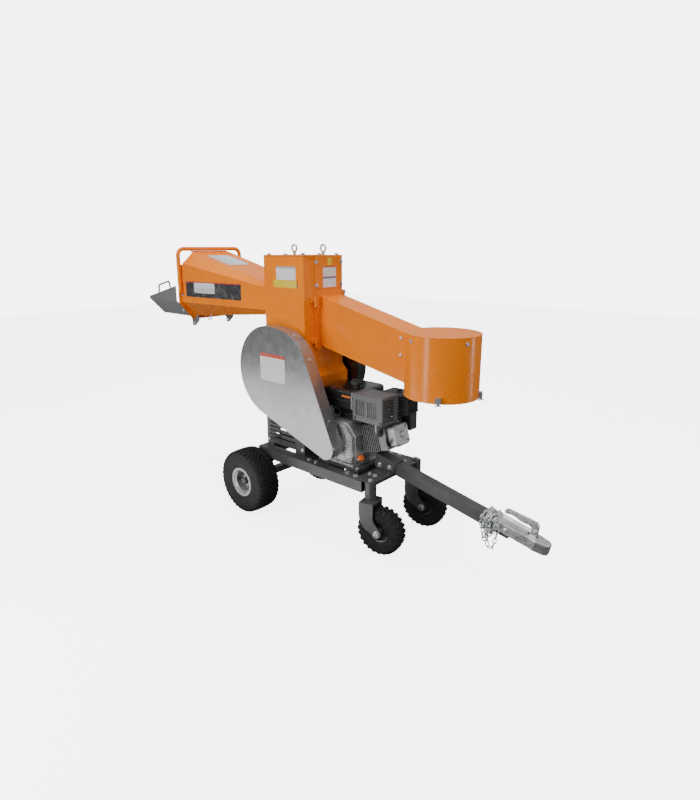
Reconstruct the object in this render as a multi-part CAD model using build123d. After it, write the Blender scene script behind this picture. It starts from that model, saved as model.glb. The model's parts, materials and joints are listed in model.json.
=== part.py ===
from build123d import *
import os
from math import asin, atan2, cos, hypot, pi, radians, sin, sqrt, tan

# Towable petrol wood chipper. Millimetres. +Z up, +X towards the hitch, Y = 0 on the centreline,
# Z = 0 on the ground. The belt drive is on the -Y side. The origin is under the middle of the length.

# ---------------------------------------------------------------- driving dimensions
running_fit = 0.05          # radial clearance of a shaft that turns in its bore
body_gap = 0.4              # least gap between faces of bodies that move past each other
sheet = 4.0                 # casing and hopper sheet
plate = 6.0                 # brackets and flanges

axle_x = -297.5
rear_tyre_r = 190.5
rear_tyre_w = 150.0
rear_track_half = 313.0
rear_rim_r = 76.0
spindle_r = 12.5

rail_size = 60.0
tube_wall = 4.0
frame_top_z = 376.0
rail_outer_y = 227.0
rail_start_x = -312.0
rail_end_x = 502.0

swivel_x = 540.5
swivel_y = 199.0
swivel_tube_r = 30.0
swivel_tube_h = 86.0
kingpin_r = 19.0
caster_r = 127.0
caster_w = 84.0
caster_rim_r = 54.0
caster_trail = 65.0
caster_yaw = 12.0
caster_axle_r = 8.0
fork_plate = 8.0
fork_side_gap = 6.0

drawbar_size = 60.0
drawbar_slope = 11.6
drawbar_top_z = 437.0       # top face of the drawbar above the swivel line
drawbar_start_x = 440.0
drawbar_end_x = 1225.0
sleeve_wall = 6.0
sleeve_start_x = 446.0
sleeve_end_x = 574.0
tip_x = 1402.5

tower_x0 = -291.5
tower_x1 = 30.5
tower_half_y = 152.0
tower_top_z = 1491.0
housing_top_z = 1000.0
housing_bottom_z = 690.0
stand_half_y = 172.0
cover_sheet = 5.0

drum_x = -130.5
drum_z = 855.0
drum_r = 118.0
drum_half_w = 134.0
shaft_r = 25.0
knife_out = 8.0
drum_pulley_r = 188.0
flywheel_r = 200.0
belt_y = -213.0
belt_pitch = 17.0
belt_top_w = 13.0
belt_depth = 9.0
guard_y0 = -252.0
guard_y1 = -175.0
guard_r = 260.0
guard_small_r = 62.0

crank_x = 263.5
crank_z = 508.0
crank_r = 12.7
engine_pulley_r = 46.0

mouth_x = -1037.5
mouth_half_y = 228.0
mouth_top_z = 1513.0
mouth_bottom_z = 1094.0
mouth_fold_low_z = 1190.0
mouth_fold_high_z = 1441.0
mouth_top_half_y = 145.0
mouth_floor_half_y = 141.0
throat_half_y = 146.0
throat_low_z = 1185.0
throat_high_z = 1312.0
throat_scale = 0.3          # chamfer length at the throat over its length at the mouth
rim_tube_r = 13.0

tray_outer_x = -1402.5
tray_floor_half_y = 150.0
tray_half_y = 252.0
tray_fold_z = 1196.0
tray_cheek_out_z = 1211.0
tray_cheek_in_z = 1294.0
tray_gap_x = 26.0           # from the mouth plane to the tray's inner edge

chute_y0 = -30.0
chute_y1 = 145.0
chute_z0 = 1001.0
chute_z1 = 1278.0
chute_flange = 24.0
chute_hinge_y = -78.0
chute_hinge_r = 9.0
hinge_pin_r = 5.0
hood_x = 768.5
hood_y = 68.0
hood_r = 185.0
hood_z0 = 825.0
hood_z1 = 1137.0
chute_end_z0 = 884.0

engine_base_z = 392.0
muffler_box = (372.0, 566.0, -146.0, -12.0, 664.0, 806.0)


# ---------------------------------------------------------------- shape helpers
def box(x0, x1, y0, y1, z0, z1):
    return Pos((x0 + x1) / 2, (y0 + y1) / 2, (z0 + z1) / 2) * Box(x1 - x0, y1 - y0, z1 - z0)


def turned(points, x, y, z):
    """Solid of revolution about a Y line; points are (radius, distance along Y)."""
    face = make_face(Polyline(*points, close=True))
    return Pos(x, y, z) * revolve(face, Axis.Y)


def rod_y(x, z, y0, y1, r):
    return Pos(x, (y0 + y1) / 2, z) * Rot(90, 0, 0) * Cylinder(r, y1 - y0)


def rod_x(y, z, x0, x1, r):
    return Pos((x0 + x1) / 2, y, z) * Rot(0, 90, 0) * Cylinder(r, x1 - x0)


def rod_z(x, y, z0, z1, r):
    return Pos(x, y, (z0 + z1) / 2) * Cylinder(r, z1 - z0)


def tube_z(x, y, z0, z1, r, bore):
    return rod_z(x, y, z0, z1, r) - rod_z(x, y, z0 - 1, z1 + 1, bore)


def prism_y(points, y0, y1):
    """Outline of (x, z) points, extruded from y0 to y1."""
    face = make_face(Polyline(*[(x, y0, z) for x, z in points], close=True))
    return extrude(face, amount=y1 - y0, dir=(0, 1, 0))


def prism_x(points, x0, x1):
    """Outline of (y, z) points, extruded from x0 to x1."""
    face = make_face(Polyline(*[(x0, y, z) for y, z in points], close=True))
    return extrude(face, amount=x1 - x0, dir=(1, 0, 0))


def prism_z(points, z0, z1):
    face = make_face(Polyline(*[(x, y, z0) for x, y in points], close=True))
    return extrude(face, amount=z1 - z0, dir=(0, 0, 1))


def both_sides(solid):
    return [solid, mirror(solid, Plane.XZ)]


def pipe(points, radius, bends):
    """Round bar or tube along straight runs with rounded corners."""
    path = FilletPolyline(*points, radius=bends) if len(points) > 2 else Line(*points)
    start = Plane(origin=path @ 0, z_dir=path % 0)
    return sweep(start * Circle(radius), path=path)


def save(name, solids):
    parts = solids if isinstance(solids, list) else [solids]
    loose = []
    for part in parts:
        loose += list(part.solids())
    shape = loose[0] if len(loose) == 1 else Compound(children=loose)
    shape.label = name
    export_step(shape, f"parts/{name}.step")


# ---------------------------------------------------------------- chassis
frame_low_z = frame_top_z - rail_size
rail_inner_y = rail_outer_y - rail_size
rail_mid_y = rail_outer_y - rail_size / 2


def hollow_bar(x0, x1, y0, y1, z0, z1, along, wall=tube_wall):
    bar = box(x0, x1, y0, y1, z0, z1)
    if along == "x":
        return bar - box(x0 - 1, x1 + 1, y0 + wall, y1 - wall, z0 + wall, z1 - wall)
    return bar - box(x0 + wall, x1 - wall, y0 - 1, y1 + 1, z0 + wall, z1 - wall)


def side_rails():
    rail = hollow_bar(rail_start_x, rail_end_x, -rail_outer_y, -rail_inner_y, frame_low_z, frame_top_z, "x")
    return both_sides(rail)


cross_tube_starts = [rail_start_x, tower_x1 - rail_size, crank_x - 115, crank_x + 70, rail_end_x - rail_size]


def cross_tubes():
    tubes = []
    for x in cross_tube_starts:
        tubes.append(hollow_bar(x, x + rail_size, -rail_inner_y, rail_inner_y, frame_low_z, frame_top_z, "y"))
    return tubes


axle_tube = 40.0
spindle_out_y = rear_track_half + 38.0


def axle_beam():
    z = rear_tyre_r
    half = axle_tube / 2
    beam_end = rear_track_half - rear_tyre_w / 2 - 12
    beam = hollow_bar(axle_x - half, axle_x + half, -beam_end, beam_end, z - half, z + half, "y")
    solids = [beam]
    for side in (-1, 1):
        inner = side * (beam_end - 40)
        outer = side * spindle_out_y
        y0, y1 = min(inner, outer), max(inner, outer)
        solids.append(rod_y(axle_x, z, y0, y1, spindle_r))
        gusset = [(rail_start_x, frame_low_z), (rail_start_x + 110, frame_low_z)]
        gusset += [(axle_x + half, z + half), (axle_x - half, z + half)]
        y = side * rail_mid_y
        solids.append(prism_y(gusset, y - plate, y + plate))
    return solids


def caster_tubes():
    z1 = frame_top_z + 6
    z0 = z1 - swivel_tube_h
    solids = []
    for side in (-1, 1):
        y = side * swivel_y
        tube = tube_z(swivel_x, y, z0, z1, swivel_tube_r, kingpin_r + running_fit)
        solids.append(tube)
        inner = drawbar_size / 2 + sleeve_wall
        reach = swivel_y + swivel_tube_r * 0.6
        corner = [(rail_end_x - 40, side * inner), (swivel_x + 26, side * inner)]
        corner += [(swivel_x + 26, side * (swivel_y - 8)), (swivel_x, side * reach)]
        corner += [(rail_end_x - 40, side * reach)]
        gusset = prism_z(corner, frame_top_z, frame_top_z + plate)
        solids.append(gusset - rod_z(swivel_x, y, z0, z1 + 20, swivel_tube_r))
        web = box(rail_end_x, swivel_x, y - plate, y + plate, frame_low_z, frame_top_z)
        solids.append(web - rod_z(swivel_x, y, z0 - 30, z1 + 20, swivel_tube_r))
    return solids


# ---------------------------------------------------------------- rear wheels
def rear_tyre(side):
    r, half = rear_tyre_r, rear_tyre_w / 2
    seat = rear_rim_r
    half_bead = 62.0
    lip = seat + 14
    profile = [(seat, -half_bead), (lip, -half_bead), (lip, -half_bead - 5), (seat + 50, -half), (r - 34, -half)]
    profile += [(r - 9, -half + 12), (r, -half + 34), (r, half - 34), (r - 9, half - 12)]
    profile += [(r - 34, half), (seat + 50, half), (lip, half_bead + 5), (lip, half_bead), (seat, half_bead)]
    return turned(profile, axle_x, side * rear_track_half, r)


rim_lip = 12.0              # how far the lip stands above the bead seat
rim_sheet = 4.0
rim_half_w = 65.4
rim_hub_r = 30.0


def rear_rim(side):
    """Pressed steel rim: lips and bead seats, a deep outer dish and a hub barrel on the spindle."""
    seat, t = rear_rim_r, rim_sheet
    lip, well = seat + rim_lip, seat - rim_lip
    bore = spindle_r + running_fit
    edge = rim_half_w - 3.0
    profile = [(bore, -66), (rim_hub_r, -66), (rim_hub_r, -4), (well - t, 2), (well - t, -edge + 8)]
    profile += [(seat - t, -edge), (seat - t, -rim_half_w), (lip, -rim_half_w), (lip, -edge), (seat, -edge)]
    profile += [(well, -edge + 12), (well, edge - 12), (seat, edge), (lip, edge), (lip, rim_half_w)]
    profile += [(seat - t, rim_half_w), (seat - t, edge), (well - t, edge - 8), (well - t, 8)]
    profile += [(rim_hub_r, 4), (rim_hub_r, 30), (bore, 30)]
    wheel = turned(profile, 0, 0, 0)
    if side < 0:
        wheel = Rot(0, 0, 180) * wheel
    return Pos(axle_x, side * rear_track_half, rear_tyre_r) * wheel


# ---------------------------------------------------------------- casters
crown_z = caster_r * 2 + 14.0
crown_t = 14.0
crown_half_x = 40.0
fork_end_r = 22.0           # round end of the fork's side plates


def caster_frame(side, solid):
    return Pos(swivel_x, side * swivel_y, 0) * Rot(0, 0, caster_yaw) * solid


def fork_leg(y):
    """Side plate of the fork, which sweeps back from the crown to a round end at the axle."""
    top = crown_z + crown_t
    x, z, r = caster_trail, caster_r, fork_end_r
    back, front = (-crown_half_x, y, top - 58), (crown_half_x, y, top - 76)
    low = (x - r * 0.55, y, z - r * 0.83)
    high = (x + r * 0.85, y, z + r * 0.53)
    outline = Line((-crown_half_x, y, top), (crown_half_x, y, top)) + Line((crown_half_x, y, top), front)
    outline += Spline(front, (crown_half_x + 14, y, z + 46), high, tangents=[(0, 0, -1), (0.62, 0, -0.78)])
    outline += ThreePointArc(high, (x + r * 0.35, y, z - r * 0.937), low)
    outline += Spline(low, (-6, y, z + 16), back, tangents=[(-0.83, 0, 0.55), (0, 0, 1)])
    outline += Line(back, (-crown_half_x, y, top))
    return extrude(make_face(outline), amount=fork_plate, dir=(0, 1, 0))


def caster_fork(side):
    inner = caster_w / 2 + fork_side_gap
    outer = inner + fork_plate
    crown = box(-crown_half_x, crown_half_x, -outer, outer, crown_z, crown_z + crown_t)
    tube_low = frame_top_z + 6 - swivel_tube_h
    collar = rod_z(0, 0, crown_z + crown_t, tube_low - body_gap, swivel_tube_r - 2)
    pin = rod_z(0, 0, crown_z + crown_t, frame_top_z + 6 + body_gap, kingpin_r)
    cap_z = frame_top_z + 6 + body_gap
    washer = rod_z(0, 0, cap_z, cap_z + 3, kingpin_r + 6)
    bolt = Pos(0, 0, cap_z + 3) * extrude(RegularPolygon(11, 6), amount=8)
    fork = crown + collar + pin + washer + bolt
    for low in (-outer, inner):
        fork = fork + fork_leg(low)
    fork = fork - rod_y(caster_trail, caster_r, -outer - 1, outer + 1, caster_axle_r)
    axle = rod_y(caster_trail, caster_r, -outer - 14, outer + 14, caster_axle_r)
    solids = [caster_frame(side, fork)]
    head = Pos(caster_trail, -outer, caster_r) * Rot(90, 0, 0) * extrude(RegularPolygon(13, 6), amount=9)
    nut = Pos(caster_trail, outer, caster_r) * Rot(-90, 0, 0) * extrude(RegularPolygon(13, 6), amount=9)
    solids.append(caster_frame(side, axle + head + nut))
    return solids


def caster_tyre(side):
    r, half = caster_r, caster_w / 2
    seat = caster_rim_r
    profile = [(seat, -half + 10), (seat + 14, -half + 4), (seat + 34, -half), (r - 18, -half + 3)]
    profile += [(r - 4, -half + 16), (r, -half + 30), (r, half - 30), (r - 4, half - 16)]
    profile += [(r - 18, half - 3), (seat + 34, half), (seat + 14, half - 4), (seat, half - 10)]
    return caster_frame(side, turned(profile, caster_trail, 0, caster_r))


def caster_rim(side):
    seat, half = caster_rim_r, caster_w / 2
    bore = caster_axle_r + running_fit
    hub_half = half + fork_side_gap - body_gap
    profile = [(bore, -hub_half), (18, -hub_half), (20, -18), (seat - 12, -14), (seat - 8, -half + 12)]
    profile += [(seat, -half + 9.5), (seat, half - 9.5), (seat - 8, half - 12), (seat - 12, 14)]
    profile += [(20, 18), (18, hub_half), (bore, hub_half)]
    return caster_frame(side, turned(profile, caster_trail, 0, caster_r))


# ---------------------------------------------------------------- drawbar and hitch
slope = radians(drawbar_slope)


def on_drawbar(solid):
    """From drawbar axes (x along the bar from the swivel line, z above its top) to the machine."""
    return Pos(swivel_x, 0, drawbar_top_z) * Rot(0, drawbar_slope, 0) * solid


def along_bar(x):
    return (x - swivel_x) / cos(slope)


def drawbar_sleeve():
    a, b = along_bar(sleeve_start_x), along_bar(sleeve_end_x)
    h = drawbar_size / 2
    w = sleeve_wall
    sleeve = box(a, b, -h - w, h + w, -2 * h - w, w) - box(a - 1, b + 1, -h, h, -2 * h, 0)
    foot_x0 = rail_end_x - rail_size
    foot = prism_y([(foot_x0, frame_top_z), (foot_x0 + rail_size, frame_top_z),
                    (foot_x0 + rail_size, frame_top_z + 120), (foot_x0, frame_top_z + 120)], -h - w, h + w)
    below = on_drawbar(box(a - 200, b + 200, -200, 200, -400, -2 * h - w))
    return [on_drawbar(sleeve), foot & below]


def drawbar():
    a, b = along_bar(drawbar_start_x), along_bar(drawbar_end_x)
    h = drawbar_size / 2
    w = tube_wall
    bar = box(a, b, -h, h, -2 * h, 0) - box(a - 1, b + 1, -h + w, h - w, -2 * h + w, -w)
    return on_drawbar(bar)


coupler_x0 = along_bar(drawbar_end_x) - 85.0
coupler_tip = along_bar(tip_x) - 0.3
coupler_w = 66.0
ball_r = 25.0
ball_seat = coupler_tip - 38.0
latch_pivot = coupler_tip - 82.0
latch_z = 22.0
latch_length = 154.0
latch_rise = 50.0           # top of the lever above its pin


def coupler_body():
    """Pressed-steel ball coupling: a channel over the drawbar that narrows to a round socket."""
    a, t = coupler_x0, 5.0
    half = coupler_w / 2
    top = t + body_gap
    low = -44.0
    plan = [(a, -half), (coupler_tip - 90, -half), (coupler_tip - 60, -half - 4), (coupler_tip - 14, -28)]
    plan += [(coupler_tip, -14), (coupler_tip, 14), (coupler_tip - 14, 28)]
    plan += [(coupler_tip - 60, half + 4), (coupler_tip - 90, half), (a, half)]
    shell = prism_z(plan, low, top)
    shell = fillet(shell.edges().filter_by(Axis.Z, reverse=True).group_by(Axis.Z)[-1], 4)
    bar_end = along_bar(drawbar_end_x)
    inside = box(a - 1, bar_end + 6, -drawbar_size / 2, drawbar_size / 2, low - 1, 0)
    hollow = box(bar_end, ball_seat - 20, -half + t, half - t, low - 1, top - t)
    dome = Pos(ball_seat, 0, low + 6) * Sphere(ball_r + 1) + rod_z(ball_seat, 0, low - 1, low + 6, ball_r + 1)
    slot = box(latch_pivot - 30, latch_pivot + 20, -9, 9, top - t - 1, top + 1)
    shell = shell - inside - hollow - dome - slot
    rib_end = latch_pivot - 26
    for side in (-1, 1):
        edge_in, edge_out = side * (half - 8), side * half
        rib = box(a, rib_end, min(edge_in, edge_out), max(edge_in, edge_out), top - 1, top + 7)
        shell = shell + rib
    ears = []
    for y in (-14, 10):
        ear = prism_y([(latch_pivot - 16, top), (latch_pivot + 16, top), (latch_pivot + 10, latch_z + 14),
                       (latch_pivot - 10, latch_z + 14)], y, y + 4)
        ears.append(ear)
    shell = shell + ears[0] + ears[1]
    pin = rod_y(latch_pivot, latch_z + 2, -18, 18, 5)
    bolts = []
    for x in (a + 22, a + 62):
        for side in (-1, 1):
            bolt = Pos(x, side * half, -26) * Rot(-90 * side, 0, 0) * extrude(RegularPolygon(10, 6), amount=7)
            bolts.append(bolt)
    shell = shell - rod_y(latch_pivot, latch_z + 2, -18, 18, 5)
    return [on_drawbar(shell), on_drawbar(pin)] + [on_drawbar(bolt) for bolt in bolts]


def coupler_latch():
    """Pressed lever of the ball clamp: it rises from its pin and runs back over the coupling."""
    p, z = latch_pivot, latch_z + 2
    top = z + latch_rise
    back = p - latch_length
    outline = Line((p + 13, 0, z - 9), (p + 13, 0, top - 22))
    outline += ThreePointArc((p + 13, 0, top - 22), (p + 6, 0, top - 7), (p - 10, 0, top))
    outline += Line((p - 10, 0, top), (back + 12, 0, top - 6))
    outline += ThreePointArc((back + 12, 0, top - 6), (back, 0, top - 18), (back + 12, 0, top - 30))
    outline += Spline((back + 12, 0, top - 30), (p - 104, 0, top - 22), (p - 60, 0, top - 29), (p - 32, 0, top - 26),
                      (p - 11, 0, z - 9))
    outline += Line((p - 11, 0, z - 9), (p + 13, 0, z - 9))
    lever = Pos(0, -9.4, 0) * extrude(make_face(outline), amount=18.8, dir=(0, 1, 0))
    lever = lever - rod_y(p, z, -20, 20, 5 + running_fit)
    return on_drawbar(lever - rod_y(back + 14, top - 17, -20, 20, 6))


# ---------------------------------------------------------------- safety chain
chain_wire_r = 2.5
chain_link_l = 32.0
chain_link_w = 20.0
chain_loops = [(1098.0, 34.0, 120.0, -44.0), (1122.0, 66.0, 150.0, -52.0)]     # (start x, span, drop, y)


def chain_link(centre, direction, roll):
    """One oval link whose length lies along direction."""
    straight = chain_link_l - chain_link_w
    bend = (chain_link_w - 2 * chain_wire_r) / 2
    path = Polyline((-straight / 2, bend), (straight / 2, bend)) + ThreePointArc(
        (straight / 2, bend), (straight / 2 + bend, 0), (straight / 2, -bend))
    path = path + Polyline((straight / 2, -bend), (-straight / 2, -bend)) + ThreePointArc(
        (-straight / 2, -bend), (-straight / 2 - bend, 0), (-straight / 2, bend))
    ring = sweep(Plane(origin=(0, bend, 0), z_dir=(1, 0, 0)) * Circle(chain_wire_r), path=path)
    plane = Plane(origin=centre, x_dir=direction, z_dir=(0, 1, 0.0001))
    return plane.location * Rot(roll, 0, 0) * ring


def safety_chain():
    """Loops of chain that hang beside the drawbar's end, off the turns wound round it."""
    links = []
    pitch = chain_link_l - 2 * chain_wire_r - 1.0
    spread = 0.93 * pi / 2
    for start_x, span, drop, y in chain_loops:
        top_z = drawbar_top_z - (start_x - swivel_x) * tan(slope) - 20
        curve = [(start_x + span / 2 * (1 + sin(a) / sin(spread)), y, top_z - drop * (cos(a) - cos(spread)))
                 for a in (spread * (k / 60 * 2 - 1) for k in range(61))]
        route = Polyline(*curve)
        count = int(route.length / pitch)
        for i in range(count):
            t = (i + 0.5) / count
            along = route % t
            links.append(chain_link(route @ t, (along.X, 0, along.Z), 90 * (i % 2)))
    return links


# ---------------------------------------------------------------- drum stand, housing and tower
def base_stand():
    """Louvred sheet box that carries the drum housing on the rails."""
    t = cover_sheet
    outer = box(tower_x0, tower_x1, -stand_half_y, stand_half_y, frame_top_z, housing_bottom_z)
    inner = box(tower_x0 + t, tower_x1 - t, -stand_half_y + t, stand_half_y - t, frame_top_z - 1,
                housing_bottom_z - t)
    stand = outer - inner
    row_pitch = 31.0
    for row in range(3):
        z = frame_top_z + 54 + row * row_pitch
        length = 170 - row * 14
        slot = box(tower_x0 + 74, tower_x0 + 74 + length, -stand_half_y - 1, stand_half_y + 1, z, z + 11)
        stand = stand - slot
    foot = box(tower_x0 + 60, tower_x0 + 246, -stand_half_y - 1, stand_half_y + 1, frame_top_z - 1,
               frame_top_z + 20)
    stand = stand - foot
    window = box(tower_x0 - 1, tower_x1 + 1, -stand_half_y + 50, stand_half_y - 50, frame_top_z + 40,
                 housing_bottom_z - 60)
    return stand - window


housing_outline = [(tower_x0, housing_top_z), (tower_x0, housing_bottom_z + 90), (tower_x0 + 62, housing_bottom_z),
                   (tower_x1 - 60, housing_bottom_z), (tower_x1 + 40, housing_bottom_z + 44),
                   (tower_x1 + 40, drum_z - 20), (tower_x1, drum_z + 20), (tower_x1, housing_top_z)]


def drum_housing():
    t = plate
    outer = prism_y(housing_outline, -tower_half_y, tower_half_y)
    face = make_face(Polyline(*[(x, 0, z) for x, z in housing_outline], close=True))
    core = extrude(offset(face, -cover_sheet), amount=2 * (tower_half_y - t), dir=(0, 1, 0))
    core = Pos(0, -(tower_half_y - t), 0) * core
    mouth = box(tower_x0 + cover_sheet, tower_x1 - cover_sheet, -tower_half_y + t, tower_half_y - t,
                housing_top_z - 20, housing_top_z + 20)
    shell = outer - core - mouth
    return shell - rod_y(drum_x, drum_z, -tower_half_y - 1, tower_half_y + 1, shaft_r + 8)


def throat_sections():
    """Half outlines (y, z) of the hopper at the mouth and at the tower; the chamfers stay parallel."""
    mouth = [(mouth_top_half_y, mouth_top_z), (mouth_half_y, mouth_fold_high_z),
             (mouth_half_y, mouth_fold_low_z), (mouth_floor_half_y, mouth_bottom_z)]
    top_dy = (mouth_half_y - mouth_top_half_y) * throat_scale
    top_dz = (mouth_top_z - mouth_fold_high_z) * throat_scale
    low_dy = (mouth_half_y - mouth_floor_half_y) * throat_scale
    low_dz = (mouth_fold_low_z - mouth_bottom_z) * throat_scale
    throat = [(throat_half_y - top_dy, throat_high_z + top_dz), (throat_half_y, throat_high_z),
              (throat_half_y, throat_low_z), (throat_half_y - low_dy, throat_low_z - low_dz)]
    return mouth, throat


def section_face(half, x, inset):
    ring = [(x, y, z) for y, z in half] + [(x, -y, z) for y, z in reversed(half)]
    face = make_face(Polyline(*ring, close=True))
    return face if inset == 0 else offset(face, -inset)


def hopper_loft(inset, over):
    """Solid between the two sections; over makes it run past both ends."""
    mouth, throat = throat_sections()
    run = tower_x0 - mouth_x
    ends = []
    for t in (-over / run, 1 + over / run):
        half = [(a[0] + (b[0] - a[0]) * t, a[1] + (b[1] - a[1]) * t) for a, b in zip(mouth, throat)]
        ends.append(section_face(half, mouth_x + run * t, inset))
    return loft(ends, ruled=True)


def infeed_hopper():
    hopper = hopper_loft(0, 0) - hopper_loft(sheet, 2)
    for side in (-1, 1):
        y = side * (mouth_half_y + 14)
        notch = rod_x(y, mouth_top_z + 18, mouth_x - 1, mouth_x + 30, 104)
        hopper = hopper - notch
    low_half, low_z = throat_sections()[1][3]
    gusset = prism_x([(-low_half, low_z - 8), (low_half, low_z - 8), (low_half, low_z - 62),
                      (-low_half, low_z - 62)], tower_x0 - plate, tower_x0)
    return [hopper, gusset]


def hopper_rim():
    """Round bar frame over the mouth's top and sides, and flat strip under its lower edges."""
    y = mouth_half_y + rim_tube_r + 1.0
    z1 = mouth_top_z + rim_tube_r + body_gap
    z0 = mouth_fold_low_z + 60
    x = mouth_x + rim_tube_r
    points = [(x, -y, z0), (x, -y, z1), (x, y, z1), (x, y, z0)]
    bar = pipe(points, rim_tube_r, 42.0)
    fold, floor = throat_sections()[0][2:4]
    outline = [(y + 8, z0), (y + 8, fold[1] - 4), (floor[0] + 14, floor[1] - 22), (-floor[0] - 14, floor[1] - 22)]
    outline += [(-y - 8, fold[1] - 4), (-y - 8, z0), (-fold[0] - 1, z0), (-fold[0] - 1, fold[1])]
    outline += [(-floor[0], floor[1] - 1), (floor[0], floor[1] - 1), (fold[0] + 1, fold[1]), (fold[0] + 1, z0)]
    strip = prism_x(outline, mouth_x, mouth_x + plate)
    return [bar, strip - bar - hopper_loft(0, 2)]


def tower_shell():
    """Four-sided casing over the drum, open below, with the throat and chute openings."""
    t = cover_sheet
    outer = box(tower_x0, tower_x1, -tower_half_y, tower_half_y, housing_top_z, tower_top_z)
    inner = box(tower_x0 + t, tower_x1 - t, -tower_half_y + t, tower_half_y - t, housing_top_z - 1,
                tower_top_z + 1)
    shell = outer - inner
    throat = throat_sections()[1]
    opening = section_face(throat, tower_x0 - 1, sheet)
    shell = shell - extrude(opening, amount=t + 2, dir=(1, 0, 0))
    window = box(tower_x1 - t - 1, tower_x1 + 1, chute_y0 + sheet, chute_y1 - sheet, chute_z0 + sheet,
                 chute_z1 - sheet)
    seam = box(tower_x1, tower_x1 + 3, chute_hinge_y - 22, chute_hinge_y - 16, chute_z1 + 60, tower_top_z)
    panel = box(tower_x1, tower_x1 + 3, chute_hinge_y + 4, tower_half_y - 4, chute_z1 + 42, tower_top_z)
    return [shell - window, panel, seam]


def tower_cover():
    cover = box(tower_x0 - 3, tower_x1 + 3, -tower_half_y - 3, tower_half_y + 3, tower_top_z,
                tower_top_z + 4)
    bolts = []
    for x in (tower_x0 + 24, (tower_x0 + tower_x1) / 2, tower_x1 - 24):
        for y in (-tower_half_y + 20, tower_half_y - 20):
            bolts.append(Pos(x, y, tower_top_z + 4) * extrude(RegularPolygon(9, 6), amount=7))
    return [cover] + bolts


eye_ring_r = 19.0
eye_wire_r = 5.5
eye_places = [(tower_x0 + 92, 0.0), (tower_x1 - 60, 60.0)]


def lifting_eyes():
    eyes = []
    for x, y in eye_places:
        z = tower_top_z + 4
        shank = rod_z(x, y, z, z + 14, 9)
        ring = Pos(x, y, z + 12 + eye_ring_r + eye_wire_r) * Rot(90, 0, 0) * Torus(eye_ring_r, eye_wire_r)
        eyes.append(shank + ring)
    return eyes


def bed_knife():
    """Fixed anvil blade and the infeed floor that leads down to it."""
    x0 = tower_x0 + cover_sheet
    floor = prism_y([(x0, throat_low_z - 40), (x0, throat_low_z - 46), (drum_x - drum_r - 22, drum_z + 60),
                     (drum_x - drum_r - 16, drum_z + 62)], -tower_half_y + 8, tower_half_y - 8)
    blade = box(drum_x - drum_r - 24, drum_x - drum_r - 10, -drum_half_w, drum_half_w, drum_z - 8,
                drum_z + 12)
    holder = box(tower_x0 + cover_sheet, drum_x - drum_r - 24, -drum_half_w, drum_half_w, drum_z - 30,
                 drum_z + 12)
    return [floor, blade, holder]


# ---------------------------------------------------------------- infeed tray
tray_inner_x = mouth_x - tray_gap_x
tray_hinge_x = mouth_x - 17.0
tray_hinge_z = mouth_bottom_z - 20.0
tray_pin_r = 6.0


def infeed_tray():
    """Folded trough: floor, two sloping wings and upright cheeks that rise towards the mouth."""
    t = sheet
    x0, x1 = tray_outer_x, tray_inner_x
    zf, zb = tray_fold_z, mouth_bottom_z - 6
    yf, yw = tray_floor_half_y, tray_half_y
    outer = [(-yw, zf), (-yf, zb), (yf, zb), (yw, zf)]
    inner = [(yw - t, zf + 1), (yf - t * 0.4, zb + t), (-yf + t * 0.4, zb + t), (-yw + t, zf + 1)]
    trough = prism_x(outer + [(yw, zf + 1), (yw - t, zf + 1)] + inner[1:3] + [(-yw + t, zf + 1), (-yw, zf + 1)],
                     x0, x1)
    cheek = prism_y([(x0, zf), (x1, zf), (x1, tray_cheek_in_z), (x0, tray_cheek_out_z)], -yw, -yw + t)
    tray = trough + cheek + mirror(cheek, Plane.XZ)
    lug_half = tray_floor_half_y - 16
    for side in (-1, 1):
        y0 = side * lug_half
        lug = [(x1 - 46, zb), (x1, zb), (tray_hinge_x + 12, tray_hinge_z + 4), (tray_hinge_x + 8, tray_hinge_z - 12),
               (tray_hinge_x - 12, tray_hinge_z - 12)]
        ear = prism_y(lug, min(y0, y0 - side * plate), max(y0, y0 - side * plate))
        tray = tray + ear
    bore = rod_y(tray_hinge_x, tray_hinge_z, -lug_half - 20, lug_half + 20, tray_pin_r + running_fit)
    return tray - bore


def tray_handle():
    """U handle of round bar on the near cheek's sloping edge."""
    run = tray_inner_x - tray_outer_x
    rise = tray_cheek_in_z - tray_cheek_out_z
    y = -tray_half_y + sheet / 2
    x0, x1 = tray_outer_x + 0.38 * run, tray_outer_x + 0.80 * run
    foot_gap = 2.0
    z0 = tray_cheek_out_z + 0.38 * rise + foot_gap
    z1 = tray_cheek_out_z + 0.80 * rise + foot_gap
    lift = 46.0
    return pipe([(x0, y, z0), (x0 + 4, y, z0 + lift), (x1 - 6, y, z1 + lift - 4), (x1, y, z1)], 6.0, 16.0)


lock_hole_r = 6.5
lock_hole_z = tray_hinge_z - 34.0


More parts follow.
